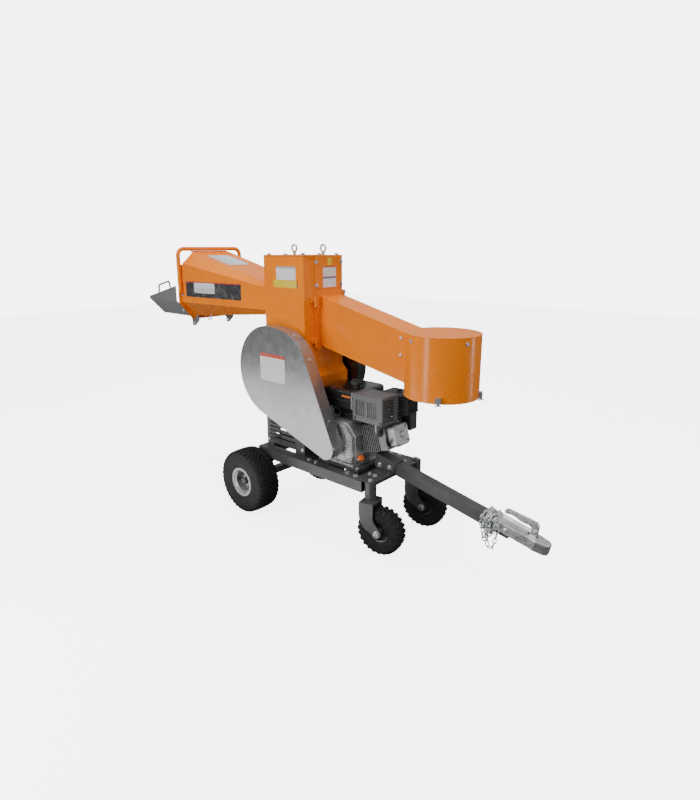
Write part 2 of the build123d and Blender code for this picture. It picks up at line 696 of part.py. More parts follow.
def tray_hinge():
    """Two brackets under the mouth with the hinge pin and the lock-pin hole."""
    solids = []
    lug_half = tray_floor_half_y - 16
    mouth, throat = throat_sections()
    climb = (throat[3][1] - mouth[3][1]) / (tower_x0 - mouth_x)
    x2, x3 = mouth_x + plate, mouth_x + 46
    for side in (-1, 1):
        y0 = side * (lug_half + body_gap)
        ear = [(tray_hinge_x - 14, tray_hinge_z + 6), (mouth_x - 1, mouth_bottom_z - 24), (x2, mouth_bottom_z - 24)]
        ear += [(x2, mouth_bottom_z + climb * plate), (x3, mouth_bottom_z + climb * 46)]
        ear += [(x3, mouth_bottom_z - 30), (tray_hinge_x + 16, lock_hole_z - 14)]
        ear += [(tray_hinge_x - 14, lock_hole_z - 14)]
        bracket = prism_y(ear, min(y0, y0 + side * plate), max(y0, y0 + side * plate))
        bracket = bracket - rod_y(tray_hinge_x, lock_hole_z, -400, 400, lock_hole_r)
        bracket = bracket - rod_y(tray_hinge_x, tray_hinge_z, -400, 400, tray_pin_r)
        solids.append(bracket)
        a, b = side * (lug_half - 10), side * (lug_half + 16)
        solids.append(rod_y(tray_hinge_x, tray_hinge_z, min(a, b), max(a, b), tray_pin_r))
    return solids


# ---------------------------------------------------------------- discharge chute
hinge_x = tower_x1 + chute_hinge_r + 3.0
flange_x = tower_x1 + body_gap


def chute_hinges():
    """Fixed knuckles and pins at the tower's near side, and the closing bolt on the far side."""
    solids = []
    for z in (chute_z0 + 20, chute_z1 - 32):
        knuckle = tube_z(hinge_x, chute_hinge_y, z, z + 26, chute_hinge_r, hinge_pin_r)
        leaf = box(tower_x1, hinge_x, chute_hinge_y - 26, chute_hinge_y - 3, z, z + 26)
        leaf = leaf - rod_z(hinge_x, chute_hinge_y, z - 1, z + 27, chute_hinge_r - 1)
        solids.append(knuckle + leaf)
        solids.append(rod_z(hinge_x, chute_hinge_y, z - 26, z + 30, hinge_pin_r))
    return solids


def chute_sides(inset):
    """Tapered passage between the tower's window and the hood."""
    x0, x1 = tower_x1 + body_gap, hood_x
    slope_top = (hood_z1 - chute_z1) / (hood_x - hood_r - x0)
    slope_low = (chute_end_z0 - chute_z0) / (hood_x - hood_r - x0)
    run = x1 - x0
    profile = [(x0, chute_z0 + inset), (x1, chute_z0 + inset + slope_low * run),
               (x1, chute_z1 - inset + slope_top * run), (x0, chute_z1 - inset)]
    return profile


def hood_cylinder(r, z0, z1):
    return rod_z(hood_x, hood_y, z0, z1, r)


def discharge_chute():
    outer = prism_y(chute_sides(0), chute_y0, chute_y1) - hood_cylinder(hood_r, hood_z0 - 100, hood_z1 + 100)
    core_profile = chute_sides(sheet)
    core_profile = [(core_profile[0][0] - 2, core_profile[0][1])] + core_profile[1:3] + [
        (core_profile[3][0] - 2, core_profile[3][1])]
    core = prism_y(core_profile, chute_y0 + sheet, chute_y1 - sheet)
    duct = outer - core
    keep = box(tower_x1, hood_x, chute_y0 - 1, chute_y1 + 1, hood_z0, chute_z1 + 1)
    duct = duct & keep
    f = chute_flange
    flange = box(flange_x, flange_x + plate, chute_hinge_y + 8, chute_y1 + f, chute_z0 - f, chute_z1 + f)
    window = box(flange_x - 1, flange_x + plate + 1, chute_y0 + sheet, chute_y1 - sheet, chute_z0 + sheet,
                 chute_z1 - sheet)
    chute = duct + (flange - window)
    for z in (chute_z0 - 6, chute_z1 - 58):
        knuckle = tube_z(hinge_x, chute_hinge_y, z, z + 25.5, chute_hinge_r, hinge_pin_r + running_fit)
        leaf = box(flange_x, hinge_x, chute_hinge_y + 3, chute_hinge_y + 12, z, z + 25.5)
        leaf = leaf - rod_z(hinge_x, chute_hinge_y, z - 1, z + 27, chute_hinge_r - 1)
        chute = chute + knuckle + leaf
    return chute


def chute_hood():
    """Round hood, flat on top and open below, with the strap that joins it to the chute."""
    drum = hood_cylinder(hood_r, hood_z0, hood_z1) - hood_cylinder(hood_r - sheet, hood_z0 - 1, hood_z1 - sheet)
    x0 = hood_x - hood_r - 20
    passage = prism_y(chute_sides(sheet), chute_y0 + sheet, chute_y1 - sheet) & box(
        x0, hood_x, chute_y0, chute_y1, hood_z0, hood_z1 - sheet)
    return drum - passage


def chute_bolts():
    """Strap bolts, the closing bolt and the wing nuts of the lower brackets."""
    solids = []
    near_x = hood_x - sqrt(hood_r ** 2 - (chute_y0 - hood_y) ** 2)
    for z in (hood_z1 - 34, hood_z1 - 118):
        head = Pos(near_x - 22, chute_y0, z) * Rot(90, 0, 0) * extrude(RegularPolygon(8, 6), amount=6)
        solids.append(head)
    bolt_y = chute_y1 + chute_flange - 12
    bolt_z = chute_z1 + chute_flange - 12
    nut = Pos(flange_x + plate, bolt_y, bolt_z) * Rot(0, 90, 0) * extrude(RegularPolygon(10, 6), amount=9)
    solids.append(nut)
    for angle in (-62, 20, 118):
        a = radians(angle)
        bracket = Rot(0, 0, angle) * box(hood_r + 0.2, hood_r + 16, -14, 14, 0, 30)
        stud = Rot(0, 0, angle) * rod_z(hood_r + 10, 0, -12, 0, 4)
        place = Pos(hood_x, hood_y, hood_z0 + 4)
        solids.append(place * bracket + place * stud)
    return solids


# ---------------------------------------------------------------- drum and belt drive
bearing_t = 20.0
bearing_half = 52.0


def drum_rotor():
    disc_t = 14.0
    bore = shaft_r
    w = drum_half_w
    rotor = turned([(bore, -w), (drum_r, -w), (drum_r, w), (bore, w)], drum_x, 0, drum_z)
    for index in range(4):
        place = Pos(drum_x, 0, drum_z) * Rot(0, 90 * index + 20, 0)
        pocket = place * box(drum_r - 22, drum_r + 5, -w + disc_t, w - disc_t, -26, 8)
        rotor = rotor - pocket
    return rotor


def drum_knives():
    knives = []
    w = drum_half_w - 16
    for index in range(4):
        place = Pos(drum_x, 0, drum_z) * Rot(0, 90 * index + 20, 0)
        knives.append(place * box(drum_r - 22, drum_r + knife_out, -w, w, -2, 6))
    return knives


def drum_shaft():
    return rod_y(drum_x, drum_z, guard_y0 + 12, -guard_y0 - 12, shaft_r)


def drum_bearings():
    bearings = []
    for side in (-1, 1):
        y0 = side * tower_half_y
        y1 = side * (tower_half_y + bearing_t)
        h = bearing_half
        block = box(drum_x - h, drum_x + h, min(y0, y1), max(y0, y1), drum_z - h, drum_z + h)
        block = fillet(block.edges().filter_by(Axis.Y), 22)
        bearings.append(block - rod_y(drum_x, drum_z, -400, 400, shaft_r + running_fit))
    return bearings


def grooved_pulley(x, z, r, bore, hub_r, web_r):
    """Two-groove V pulley about the belt plane, with a thin web."""
    half = belt_pitch + 1.0
    outer = r + 2.0
    points = [(bore, -half), (hub_r, -half), (hub_r, -6), (web_r, -6), (web_r, -half), (outer, -half)]
    for centre in (-belt_pitch / 2, belt_pitch / 2):
        points += [(outer, centre - 7), (outer - 12, centre - 4.4), (outer - 12, centre + 4.4), (outer, centre + 7)]
    points += [(outer, half), (web_r, half), (web_r, 6), (hub_r, 6), (hub_r, half), (bore, half)]
    return turned(points, x, belt_y, z)


def drum_pulley():
    pulley = grooved_pulley(drum_x, drum_z, drum_pulley_r, shaft_r, 46.0, drum_pulley_r - 26)
    for index in range(5):
        place = Pos(drum_x, belt_y, drum_z) * Rot(0, 72 * index, 0)
        pulley = pulley - place * rod_y(100, 0, -20, 20, 30)
    return pulley


def engine_pulley():
    return grooved_pulley(crank_x, crank_z, engine_pulley_r, crank_r, 24.0, 32.0)


def flywheel():
    y0 = -belt_y - 20
    wheel = turned([(shaft_r, -8), (50, -8), (50, 6), (flywheel_r - 40, 6), (flywheel_r - 40, -6),
                    (flywheel_r, -6), (flywheel_r, 34), (flywheel_r - 40, 34), (flywheel_r - 40, 14),
                    (50, 14), (50, 30), (shaft_r, 30)], drum_x, y0, drum_z)
    return wheel


def hull_outline(circles, y):
    """Closed outline round circles of (x, z, radius), given clockwise from the first."""
    edges = []
    tangents = []
    count = len(circles)
    for i in range(count):
        x0, z0, r0 = circles[i]
        x1, z1, r1 = circles[(i + 1) % count]
        run = hypot(x1 - x0, z1 - z0)
        heading = atan2(z1 - z0, x1 - x0)
        turn = asin((r0 - r1) / run)
        normal = heading + pi / 2 - turn
        start = (x0 + r0 * cos(normal), y, z0 + r0 * sin(normal))
        end = (x1 + r1 * cos(normal), y, z1 + r1 * sin(normal))
        tangents.append((start, end, normal))
    for i in range(count):
        edges.append(Line(tangents[i][0], tangents[i][1]))
        x, z, r = circles[(i + 1) % count]
        a0 = tangents[i][2]
        a1 = tangents[(i + 1) % count][2]
        while a1 > a0:
            a1 -= 2 * pi
        mid = (a0 + a1) / 2
        middle = (x + r * cos(mid), y, z + r * sin(mid))
        edges.append(ThreePointArc(tangents[i][1], middle, tangents[(i + 1) % count][0]))
    outline = edges[0]
    for edge in edges[1:]:
        outline = outline + edge
    return make_face(outline)


def guard_circles(inset):
    lead = 30.0
    return [(drum_x - lead, drum_z, guard_r - inset), (drum_x + lead, drum_z + 1, guard_r - 9 - inset),
            (crank_x, crank_z - 4, guard_small_r - inset)]


def guard_shell(circles, y_face, y_open, wall):
    """Cup with its face at y_face, open towards y_open, and a narrow flange round the opening."""
    toward = 1 if y_open > y_face else -1
    depth = abs(y_open - y_face)
    body = extrude(hull_outline(circles(0), y_face), amount=depth, dir=(0, toward, 0))
    core = extrude(hull_outline(circles(wall), y_face + toward * wall), amount=depth, dir=(0, toward, 0))
    return body - core


def belt_guard():
    shell = guard_shell(guard_circles, guard_y0, guard_y1, 3.0)
    back = extrude(hull_outline(guard_circles(4), guard_y1), amount=3, dir=(0, 1, 0))
    back = back - rod_y(drum_x, drum_z, -400, 0, bearing_half + 26)
    back = back - rod_y(crank_x, crank_z, -400, 0, 40)
    bracket = box(tower_x0 + 60, tower_x0 + 110, guard_y1 + 3, -tower_half_y, drum_z + 130, drum_z + 160)
    return [shell, back, bracket]


def flywheel_guard():
    depth = guard_y1 - guard_y0
    y_out = -guard_y0
    r = guard_r
    body = rod_y(drum_x, drum_z, y_out - depth, y_out, r)
    core = rod_y(drum_x, drum_z, y_out - depth - 1, y_out - 3, r - 3)
    shell = body - core
    back = rod_y(drum_x, drum_z, y_out - depth - 3, y_out - depth, r - 4)
    back = back - rod_y(drum_x, drum_z, 0, 400, bearing_half + 26)
    bracket = box(tower_x0 + 60, tower_x0 + 110, tower_half_y, y_out - depth - 3, drum_z + 130, drum_z + 160)
    return [shell, back, bracket]


def belt_circles(inset):
    return [(drum_x, drum_z, drum_pulley_r + 2.5 - inset), (crank_x, crank_z, engine_pulley_r + 2.5 - inset)]


def drive_belts():
    """Two V belts, which clear the grooves' walls and floors by a little."""
    belts = []
    for centre in (-belt_pitch / 2, belt_pitch / 2):
        y0 = belt_y + centre - 4.0
        outer = extrude(hull_outline(belt_circles(0), y0), amount=8, dir=(0, 1, 0))
        inner = extrude(hull_outline(belt_circles(belt_depth), y0 - 1), amount=10, dir=(0, 1, 0))
        belts.append(outer - inner)
    return belts


# ---------------------------------------------------------------- engine
def engine_mount():
    return box(crank_x - 140, crank_x + 150, -rail_inner_y + 12, rail_inner_y - 12, frame_top_z, engine_base_z)


pto_y = -148.0
head_y0 = -78.0
lean = 16.0              # the cylinder's rise above the horizontal, degrees


def lean_frame(solid):
    """From cylinder axes (x out along the bore from the crank) to the machine."""
    return Pos(crank_x, 0, crank_z) * Rot(0, -lean, 0) * solid


def engine_crankcase():
    z0 = engine_base_z
    foot = box(crank_x - 70, crank_x + 112, pto_y, 96, z0, z0 + 16)
    lower = [(crank_x - 62, z0 + 16), (crank_x + 104, z0 + 16), (crank_x + 116, z0 + 60), (crank_x + 112, z0 + 170)]
    lower += [(crank_x + 60, z0 + 232), (crank_x - 40, z0 + 240), (crank_x - 92, z0 + 190), (crank_x - 96, z0 + 70)]
    case = prism_y(lower, pto_y + 22, 84)
    cover = prism_y([(x * 0.94 + crank_x * 0.06, z * 0.94 + crank_z * 0.06) for x, z in lower], pto_y, pto_y + 22)
    boss = rod_y(crank_x, crank_z, pto_y - 8, pto_y, 46)
    neck = oil_place(Pos(0, 0, -30) * Cylinder(13, 40))
    block = foot + case + cover + boss + neck
    block = block - oil_place(Pos(0, 0, -15) * Cylinder(9 + body_gap, 14))
    return block - rod_y(crank_x, crank_z, pto_y - 10, 90, crank_r + running_fit)


def crankshaft():
    return rod_y(crank_x, crank_z, belt_y - 20, 60, crank_r)


def engine_cylinder():
    core = box(112, 236, -66, 66, -58, 58)
    for index in range(9):
        x = 122 + index * 13
        core = core + box(x, x + 5, -82, 78, -74, 74)
    head = box(236, 286, head_y0, 74, -72, 72)
    shape = lean_frame(core + head)
    clear = box(crank_x - 200, crank_x + 118, -300, 300, 0, 900)
    return shape - clear


def rocker_cover():
    cover = box(286, 338, -60, 56, -64, 50)
    cover = fillet(cover.edges().filter_by(Axis.X), 20)
    cover = fillet(cover.faces().sort_by(Axis.X)[-1].edges(), 9)
    return lean_frame(cover)


def muffler():
    x0, x1, y0, y1, z0, z1 = muffler_box
    body = box(x0 + 16, x1 - 16, y0 + 16, y1 - 8, z0 + 12, z1 - 12)
    body = fillet(body.edges().filter_by(Axis.X), 26)
    pipe_down = box(x0 + 114, x0 + 150, y0 + 22, y0 + 50, z0 - 74, z0 + 12)
    elbow = box(x0 + 120, x0 + 144, y0 + 50, head_y0, z0 - 70, z0 - 46)
    pipe_down = pipe_down + elbow
    outlet = rod_y(x0 + 48, z1 - 60, y0 + 2, y0 + 16, 14)
    return [body, pipe_down, outlet]


def muffler_guard():
    """Slotted heat guard round the muffler, open at the back and below."""
    x0, x1, y0, y1, z0, z1 = muffler_box
    guard = box(x0, x1, y0, y1, z0, z1) - box(x0 + 2, x1 - 2, y0 + 2, y1 + 1, z0 - 1, z1 - 2)
    for index in range(12):
        x = x0 + 20 + index * 13.2
        if index % 6 == 5:
            continue
        guard = guard - box(x, x + 6, y0 - 1, y0 + 3, z0 + 30, z1 - 30)
    for index in range(8):
        z = z0 + 16 + index * 14.5
        guard = guard - box(x1 - 3, x1 + 1, y0 + 14, y0 + 96, z, z + 7)
    return guard


def air_cleaner():
    x0, x1 = crank_x + 150, crank_x + 326
    case_z0, case_z1 = 688.0, 792.0
    case = box(x0, x1, 10, 150, case_z0, case_z1)
    case = fillet(case.edges().filter_by(Axis.Z), 22)
    case = fillet(case.faces().sort_by(Axis.Z)[-1].edges(), 10)
    carburettor = box(x0 + 40, x1 - 14, 86, 146, case_z0 - 100, case_z0)
    return case + carburettor


tank_box = (crank_x - 150, crank_x + 100, -118.0, 150.0, 694.0, 800.0)
cap_x = crank_x + 12.0
cap_y = 0.0


def fuel_tank():
    x0, x1, y0, y1, z0, z1 = tank_box
    tank = box(x0, x1, y0, y1, z0, z1)
    tank = fillet(tank.edges().filter_by(Axis.Z), 34)
    tank = fillet(tank.faces().sort_by(Axis.Z)[-1].edges(), 20)
    tank = fillet(tank.faces().sort_by(Axis.Z)[0].edges(), 14)
    neck = rod_z(cap_x, cap_y, z1 - 4, z1 + 12, 26) - rod_z(cap_x, cap_y, z1 - 2, z1 + 13, 22)
    legs = []
    for x in (x0 + 50, x1 - 40):
        legs.append(box(x - 14, x + 14, -50, 50, z0 - 62, z0))
    return [tank + neck] + legs


def fuel_cap():
    z1 = tank_box[5]
    top = rod_z(cap_x, cap_y, z1 + 12 + body_gap, z1 + 30, 34)
    plug = rod_z(cap_x, cap_y, z1 + 2, z1 + 14, 22 - body_gap)
    grip = box(cap_x - 30, cap_x + 30, cap_y - 5, cap_y + 5, z1 + 30, z1 + 37)
    return top + plug + grip


starter_y0, starter_y1 = 84.0, 196.0


def recoil_housing():
    """Blower housing round the engine's own flywheel, with the pull starter's round cover."""
    outline = [(crank_x - 128, crank_z - 96), (crank_x + 128, crank_z - 96), (crank_x + 140, crank_z + 40)]
    outline += [(crank_x + 60, crank_z + 138), (crank_x - 60, crank_z + 138), (crank_x - 140, crank_z + 40)]
    blower = prism_y(outline, starter_y0, starter_y1 - 40)
    starter = rod_y(crank_x, crank_z, starter_y1 - 40, starter_y1, 92)
    starter = fillet(starter.faces().sort_by(Axis.Y)[-1].edges(), 14)
    guide = rod_z(crank_x, starter_y1 - 24, crank_z + 80, crank_z + 108, 12)
    return blower + starter + guide


def recoil_grip():
    z = crank_z + 108 + body_gap
    y = starter_y1 - 24
    grip = box(crank_x - 38, crank_x + 38, y - 11, y + 11, z + 6, z + 30)
    grip = fillet(grip.edges().filter_by(Axis.X), 9)
    return grip + rod_z(crank_x, y, z, z + 8, 9)


oil_x = crank_x + 132.0
oil_y = -104.0
oil_z = engine_base_z + 50.0


oil_tilt = 60.0


def oil_place(solid):
    """From the filler's own axis to the machine; the cap's underside is at z = -9."""
    return Pos(oil_x, oil_y, oil_z) * Rot(0, oil_tilt, 0) * solid


def oil_cap():
    cap = Cylinder(15, 18)
    for index in range(6):
        cap = cap - Rot(0, 0, 60 * index) * Pos(17.5, 0, 4) * Cylinder(4.5, 12)
    stem = Pos(0, 0, -14) * Cylinder(9, 10)
    return oil_place(cap + stem)


throttle_x = crank_x - 40.0
throttle_y = -72.0
throttle_z = 664.0


def throttle_lever():
    """Speed lever on top of the crankcase, pivoted about Y."""
    arm = prism_y([(throttle_x - 9, throttle_z - 9), (throttle_x + 9, throttle_z - 9), (throttle_x + 6, throttle_z + 6),
                   (throttle_x - 40, throttle_z + 22), (throttle_x - 46, throttle_z + 12)], throttle_y - 2, throttle_y + 2)
    knob = rod_y(throttle_x - 44, throttle_z + 17, throttle_y - 12, throttle_y + 4, 8)
    return arm + knob - rod_y(throttle_x, throttle_z, throttle_y - 20, throttle_y + 20, 4 + running_fit)


def throttle_post():
    """Pivot post of the speed lever."""
    post = box(throttle_x - 12, throttle_x + 12, throttle_y + 2.4, throttle_y + 10, engine_base_z + 240, throttle_z + 12)
    pin = rod_y(throttle_x, throttle_z, throttle_y - 5, throttle_y + 4, 4)
    return post + pin


os.makedirs("parts", exist_ok=True)
save("side_rails", side_rails())
save("cross_tubes", cross_tubes())
save("axle_beam", axle_beam())
save("caster_tubes", caster_tubes())
for label, side in (("left", 1), ("right", -1)):
    save(f"rear_tyre_{label}", rear_tyre(side))
    save(f"rear_rim_{label}", rear_rim(side))
    save(f"caster_fork_{label}", caster_fork(side))
    save(f"caster_tyre_{label}", caster_tyre(side))
    save(f"caster_rim_{label}", caster_rim(side))
save("drawbar_sleeve", drawbar_sleeve())
save("drawbar", drawbar())
save("coupler_body", coupler_body())
save("coupler_latch", coupler_latch())
save("safety_chain", safety_chain())
save("base_stand", base_stand())
save("drum_housing", drum_housing())
save("tower_shell", tower_shell())
save("tower_cover", tower_cover())
save("lifting_eyes", lifting_eyes())
save("bed_knife", bed_knife())
save("infeed_hopper", infeed_hopper())
save("hopper_rim", hopper_rim())
save("infeed_tray", infeed_tray())
save("tray_handle", tray_handle())
save("tray_hinge", tray_hinge())
save("chute_hinges", chute_hinges())
save("discharge_chute", discharge_chute())
save("chute_hood", chute_hood())
save("chute_bolts", chute_bolts())
save("drum_rotor", drum_rotor())
save("drum_knives", drum_knives())
save("drum_shaft", drum_shaft())
save("drum_bearings", drum_bearings())
save("drum_pulley", drum_pulley())
save("flywheel", flywheel())
save("belt_guard", belt_guard())
save("flywheel_guard", flywheel_guard())
save("drive_belts", drive_belts())
save("engine_mount", engine_mount())
save("engine_crankcase", engine_crankcase())
save("engine_cylinder", engine_cylinder())
save("rocker_cover", rocker_cover())
save("crankshaft", crankshaft())
save("engine_pulley", engine_pulley())
save("muffler", muffler())
save("muffler_guard", muffler_guard())
save("air_cleaner", air_cleaner())
save("fuel_tank", fuel_tank())
save("fuel_cap", fuel_cap())
save("recoil_housing", recoil_housing())
save("recoil_grip", recoil_grip())
save("oil_cap", oil_cap())
save("throttle_lever", throttle_lever())
save("throttle_post", throttle_post())
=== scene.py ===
import json
import math
from math import cos, pi, radians, sin

import bmesh
import bpy
from mathutils import Matrix, Vector


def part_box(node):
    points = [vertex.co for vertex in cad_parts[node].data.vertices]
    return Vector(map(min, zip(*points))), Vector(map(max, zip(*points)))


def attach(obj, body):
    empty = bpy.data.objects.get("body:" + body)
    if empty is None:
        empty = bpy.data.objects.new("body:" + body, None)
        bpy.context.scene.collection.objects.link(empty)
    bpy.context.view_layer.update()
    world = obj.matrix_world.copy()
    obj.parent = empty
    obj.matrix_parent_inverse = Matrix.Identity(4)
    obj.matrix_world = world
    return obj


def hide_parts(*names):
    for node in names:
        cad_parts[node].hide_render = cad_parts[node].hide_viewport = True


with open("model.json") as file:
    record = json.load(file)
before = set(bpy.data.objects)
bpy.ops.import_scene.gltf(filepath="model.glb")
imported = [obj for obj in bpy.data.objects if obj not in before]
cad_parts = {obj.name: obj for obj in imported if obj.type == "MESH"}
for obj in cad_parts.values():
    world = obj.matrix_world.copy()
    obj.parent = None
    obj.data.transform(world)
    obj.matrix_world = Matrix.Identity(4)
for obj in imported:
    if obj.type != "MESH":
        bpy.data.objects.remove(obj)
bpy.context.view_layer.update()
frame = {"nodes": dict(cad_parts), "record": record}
MM = 0.001
NEAR, FAR, FRONT, UP = (0, -1, 0), (0, 1, 0), (1, 0, 0), (0, 0, 1)
joints = {j["name"]: j for j in frame["record"]["behaviour"]["joints"]}


# ---------------- node-tree helpers
class Tree:
    """A material's node tree, with short calls for the nodes used here."""

    def __init__(self, name):
        self.material = bpy.data.materials.new(name)
        self.material.use_nodes = True
        self.nodes = self.material.node_tree.nodes
        self.links = self.material.node_tree.links
        self.shader = self.nodes["Principled BSDF"]
        self.where = self.nodes.new("ShaderNodeTexCoord").outputs["Object"]

    def link(self, source, target):
        self.links.new(source, target)

    def node(self, kind, **inputs):
        """New node with some inputs set; an underscore stands for the space in an input's name."""
        made = self.nodes.new("ShaderNode" + kind)
        for name, value in inputs.items():
            made.inputs[name.replace("_", " ")].default_value = value
        return made

    def noise(self, scale, detail=3.0, rough=0.55, stretch=None):
        node = self.node("TexNoise", Scale=scale, Detail=detail, Roughness=rough)
        where = self.where
        if stretch:
            mapping = self.node("Mapping", Scale=stretch)
            self.link(self.where, mapping.inputs["Vector"])
            where = mapping.outputs["Vector"]
        self.link(where, node.inputs["Vector"])
        return node.outputs["Fac"]

    def cells(self, scale, output="Distance"):
        node = self.node("TexVoronoi", Scale=scale)
        self.link(self.where, node.inputs["Vector"])
        return node.outputs[output]

    def map_range(self, value, low, high, out_low, out_high):
        node = self.node("MapRange", From_Min=low, From_Max=high, To_Min=out_low, To_Max=out_high)
        self.link(value, node.inputs["Value"])
        return node.outputs["Result"]

    def patches(self, scale, detail, low, high, out_low, out_high, rough=0.55):
        """Noise, with the band from low to high spread over the output range."""
        return self.map_range(self.noise(scale, detail, rough), low, high, out_low, out_high)

    def math(self, operation, a, b):
        node = self.node("Math")
        node.operation = operation
        node.use_clamp = True
        for socket, value in zip(node.inputs, (a, b)):
            if isinstance(value, (int, float)):
                socket.default_value = value
            else:
                self.link(value, socket)
        return node.outputs["Value"]

    def mix(self, factor, a, b):
        node = self.node("Mix")
        node.data_type = "RGBA"
        self.link(factor, node.inputs["Factor"])
        for socket, value in ((node.inputs["A"], a), (node.inputs["B"], b)):
            if isinstance(value, tuple):
                socket.default_value = (*value, 1.0)
            else:
                self.link(value, socket)
        return node.outputs["Result"]

    def height_above(self, low, high):
        """1 at z = low, falling to 0 at z = high, in metres above the ground."""
        split = self.node("SeparateXYZ")
        self.link(self.where, split.inputs["Vector"])
        return self.map_range(split.outputs["Z"], low, high, 1.0, 0.0)

    def rounded_edge(self, radius):
        """The bevelled normal, and a mask that is 1 where an outer edge is rounded."""
        bevel = self.node("Bevel", Radius=radius)
        bevel.samples = 4
        geometry = self.node("NewGeometry")
        dot = self.node("VectorMath")
        dot.operation = "DOT_PRODUCT"
        self.link(bevel.outputs["Normal"], dot.inputs[0])
        self.link(geometry.outputs["Normal"], dot.inputs[1])
        return bevel.outputs["Normal"], self.map_range(dot.outputs["Value"], 0.995, 0.86, 0.0, 1.0)

    def bump(self, height, strength, distance, normal=None):
        node = self.node("Bump", Strength=strength, Distance=distance)
        self.link(height, node.inputs["Height"])
        if normal is not None:
            self.link(normal, node.inputs["Normal"])
        return node.outputs["Normal"]

    def done(self, colour, roughness, normal, metallic=0.0, coat=0.0, specular=0.5):
        for value, name in ((colour, "Base Color"), (roughness, "Roughness")):
            socket = self.shader.inputs[name]
            if isinstance(value, (tuple, float)):
                socket.default_value = (*value, 1.0) if isinstance(value, tuple) else value
            else:
                self.link(value, socket)
        self.link(normal, self.shader.inputs["Normal"])
        uniform = {"Metallic": metallic, "Coat Weight": coat, "Coat Roughness": 0.05,
                   "Specular IOR Level": specular}
        for name, value in uniform.items():
            self.shader.inputs[name].default_value = value
        return self.material

    def glow(self, strength):
        self.shader.inputs["Emission Color"].default_value = (1.0, 1.0, 1.0, 1.0)
        self.shader.inputs["Emission Strength"].default_value = strength


def tinted(colour, gain):
    return tuple(min(1.0, c * gain) for c in colour)


def powder_coat(name, colour, roughness, dust=0.25, edge=0.5, coat=0.0, grain=520.0, relief=0.10,
                metallic=0.0, specular=0.5):
    """Powder-coated sheet: orange-peel surface, soft edges worn lighter, and a little dust low down."""
    t = Tree(name)
    drift = t.patches(3.5, 4.0, 0.35, 0.65, 0.0, 1.0)
    base = t.mix(drift, tinted(colour, 0.93), tinted(colour, 1.05))
    normal, worn = t.rounded_edge(1.4 * MM)
    scuff = t.patches(60.0, 6.0, 0.48, 0.72, 0.0, edge, 0.7)
    base = t.mix(t.math("MULTIPLY", worn, scuff), base, tinted(colour, 1.45))
    low = t.math("MULTIPLY", t.height_above(0.02, 0.55), t.patches(14.0, 6.0, 0.42, 0.75, 0.0, dust))
    base = t.mix(low, base, (0.20, 0.165, 0.125))
    shine = t.patches(22.0, 5.0, 0.3, 0.7, roughness - 0.04, roughness + 0.07)
    peel = t.bump(t.noise(grain, 2.0), relief, 0.4 * MM, normal)
    return t.done(base, shine, peel, metallic=metallic, coat=coat, specular=specular)


def zinc_plate(name, colour=(0.60, 0.61, 0.62), roughness=0.34, spangle=140.0):
    """Bright zinc: faint crystal spangle, fine brushing and duller patches."""
    t = Tree(name)
    crystal = t.map_range(t.cells(spangle, output="Color"), 0.0, 1.0, 0.0, 1.0)
    base = t.mix(crystal, tinted(colour, 0.86), tinted(colour, 1.12))
    patch = t.patches(18.0, 6.0, 0.45, 0.72, 0.0, 0.55, 0.65)
    base = t.mix(patch, base, tinted(colour, 0.62))
    normal = t.rounded_edge(0.7 * MM)[0]
    shine = t.patches(70.0, 5.0, 0.3, 0.7, roughness - 0.08, roughness + 0.14)
    brushed = t.bump(t.noise(420.0, 3.0, stretch=(1.0, 6.0, 1.0)), 0.12, 0.2 * MM, normal)
    return t.done(base, shine, brushed, metallic=0.92)


def cast_metal(name, colour, roughness=0.52, metallic=0.75, grit=0.35, soot=0.4):
    """Sand- or die-cast metal: fine pits, a mottled skin and darker patches at random."""
    t = Tree(name)
    mottle = t.patches(35.0, 6.0, 0.35, 0.7, 0.0, 1.0, 0.7)
    base = t.mix(mottle, tinted(colour, 0.82), tinted(colour, 1.08))
    grime = t.patches(9.0, 5.0, 0.5, 0.75, 0.0, soot)
    base = t.mix(grime, base, tinted(colour, 0.45))
    normal = t.rounded_edge(1.0 * MM)[0]
    skin = t.bump(t.noise(380.0, 4.0, 0.7), grit, 0.5 * MM, normal)
    shine = t.patches(90.0, 4.0, 0.3, 0.7, roughness - 0.08, roughness + 0.1)
    return t.done(base, shine, skin, metallic=metallic)


def moulded(name, colour, roughness=0.45, grain=900.0, relief=0.15, coat=0.0):
    """Moulded plastic with a fine eroded grain."""
    t = Tree(name)
    base = t.mix(t.patches(12.0, 4.0, 0.35, 0.65, 0.0, 1.0), tinted(colour, 0.85), tinted(colour, 1.2))
    normal = t.rounded_edge(1.0 * MM)[0]
    skin = t.bump(t.cells(grain), relief, 0.15 * MM, normal)
    shine = t.patches(40.0, 4.0, 0.3, 0.7, roughness - 0.05, roughness + 0.08)
    return t.done(base, shine, skin, coat=coat)


def rubber(name, colour=(0.011, 0.011, 0.0115), dusty=0.10):
    """Tyre rubber: matte, lightly pitted, with pale dust that gathers in broad patches."""
    t = Tree(name)
    base = t.mix(t.patches(25.0, 5.0, 0.35, 0.7, 0.0, 1.0), tinted(colour, 0.8), tinted(colour, 1.7))
    dust = t.patches(8.0, 7.0, 0.52, 0.8, 0.0, dusty, 0.7)
    base = t.mix(dust, base, (0.11, 0.10, 0.088))
    shine = t.patches(120.0, 4.0, 0.3, 0.7, 0.62, 0.82)
    normal = t.rounded_edge(1.2 * MM)[0]
    skin = t.bump(t.noise(650.0, 4.0, 0.7), 0.25, 0.3 * MM, normal)
    return t.done(base, shine, skin, specular=0.25)


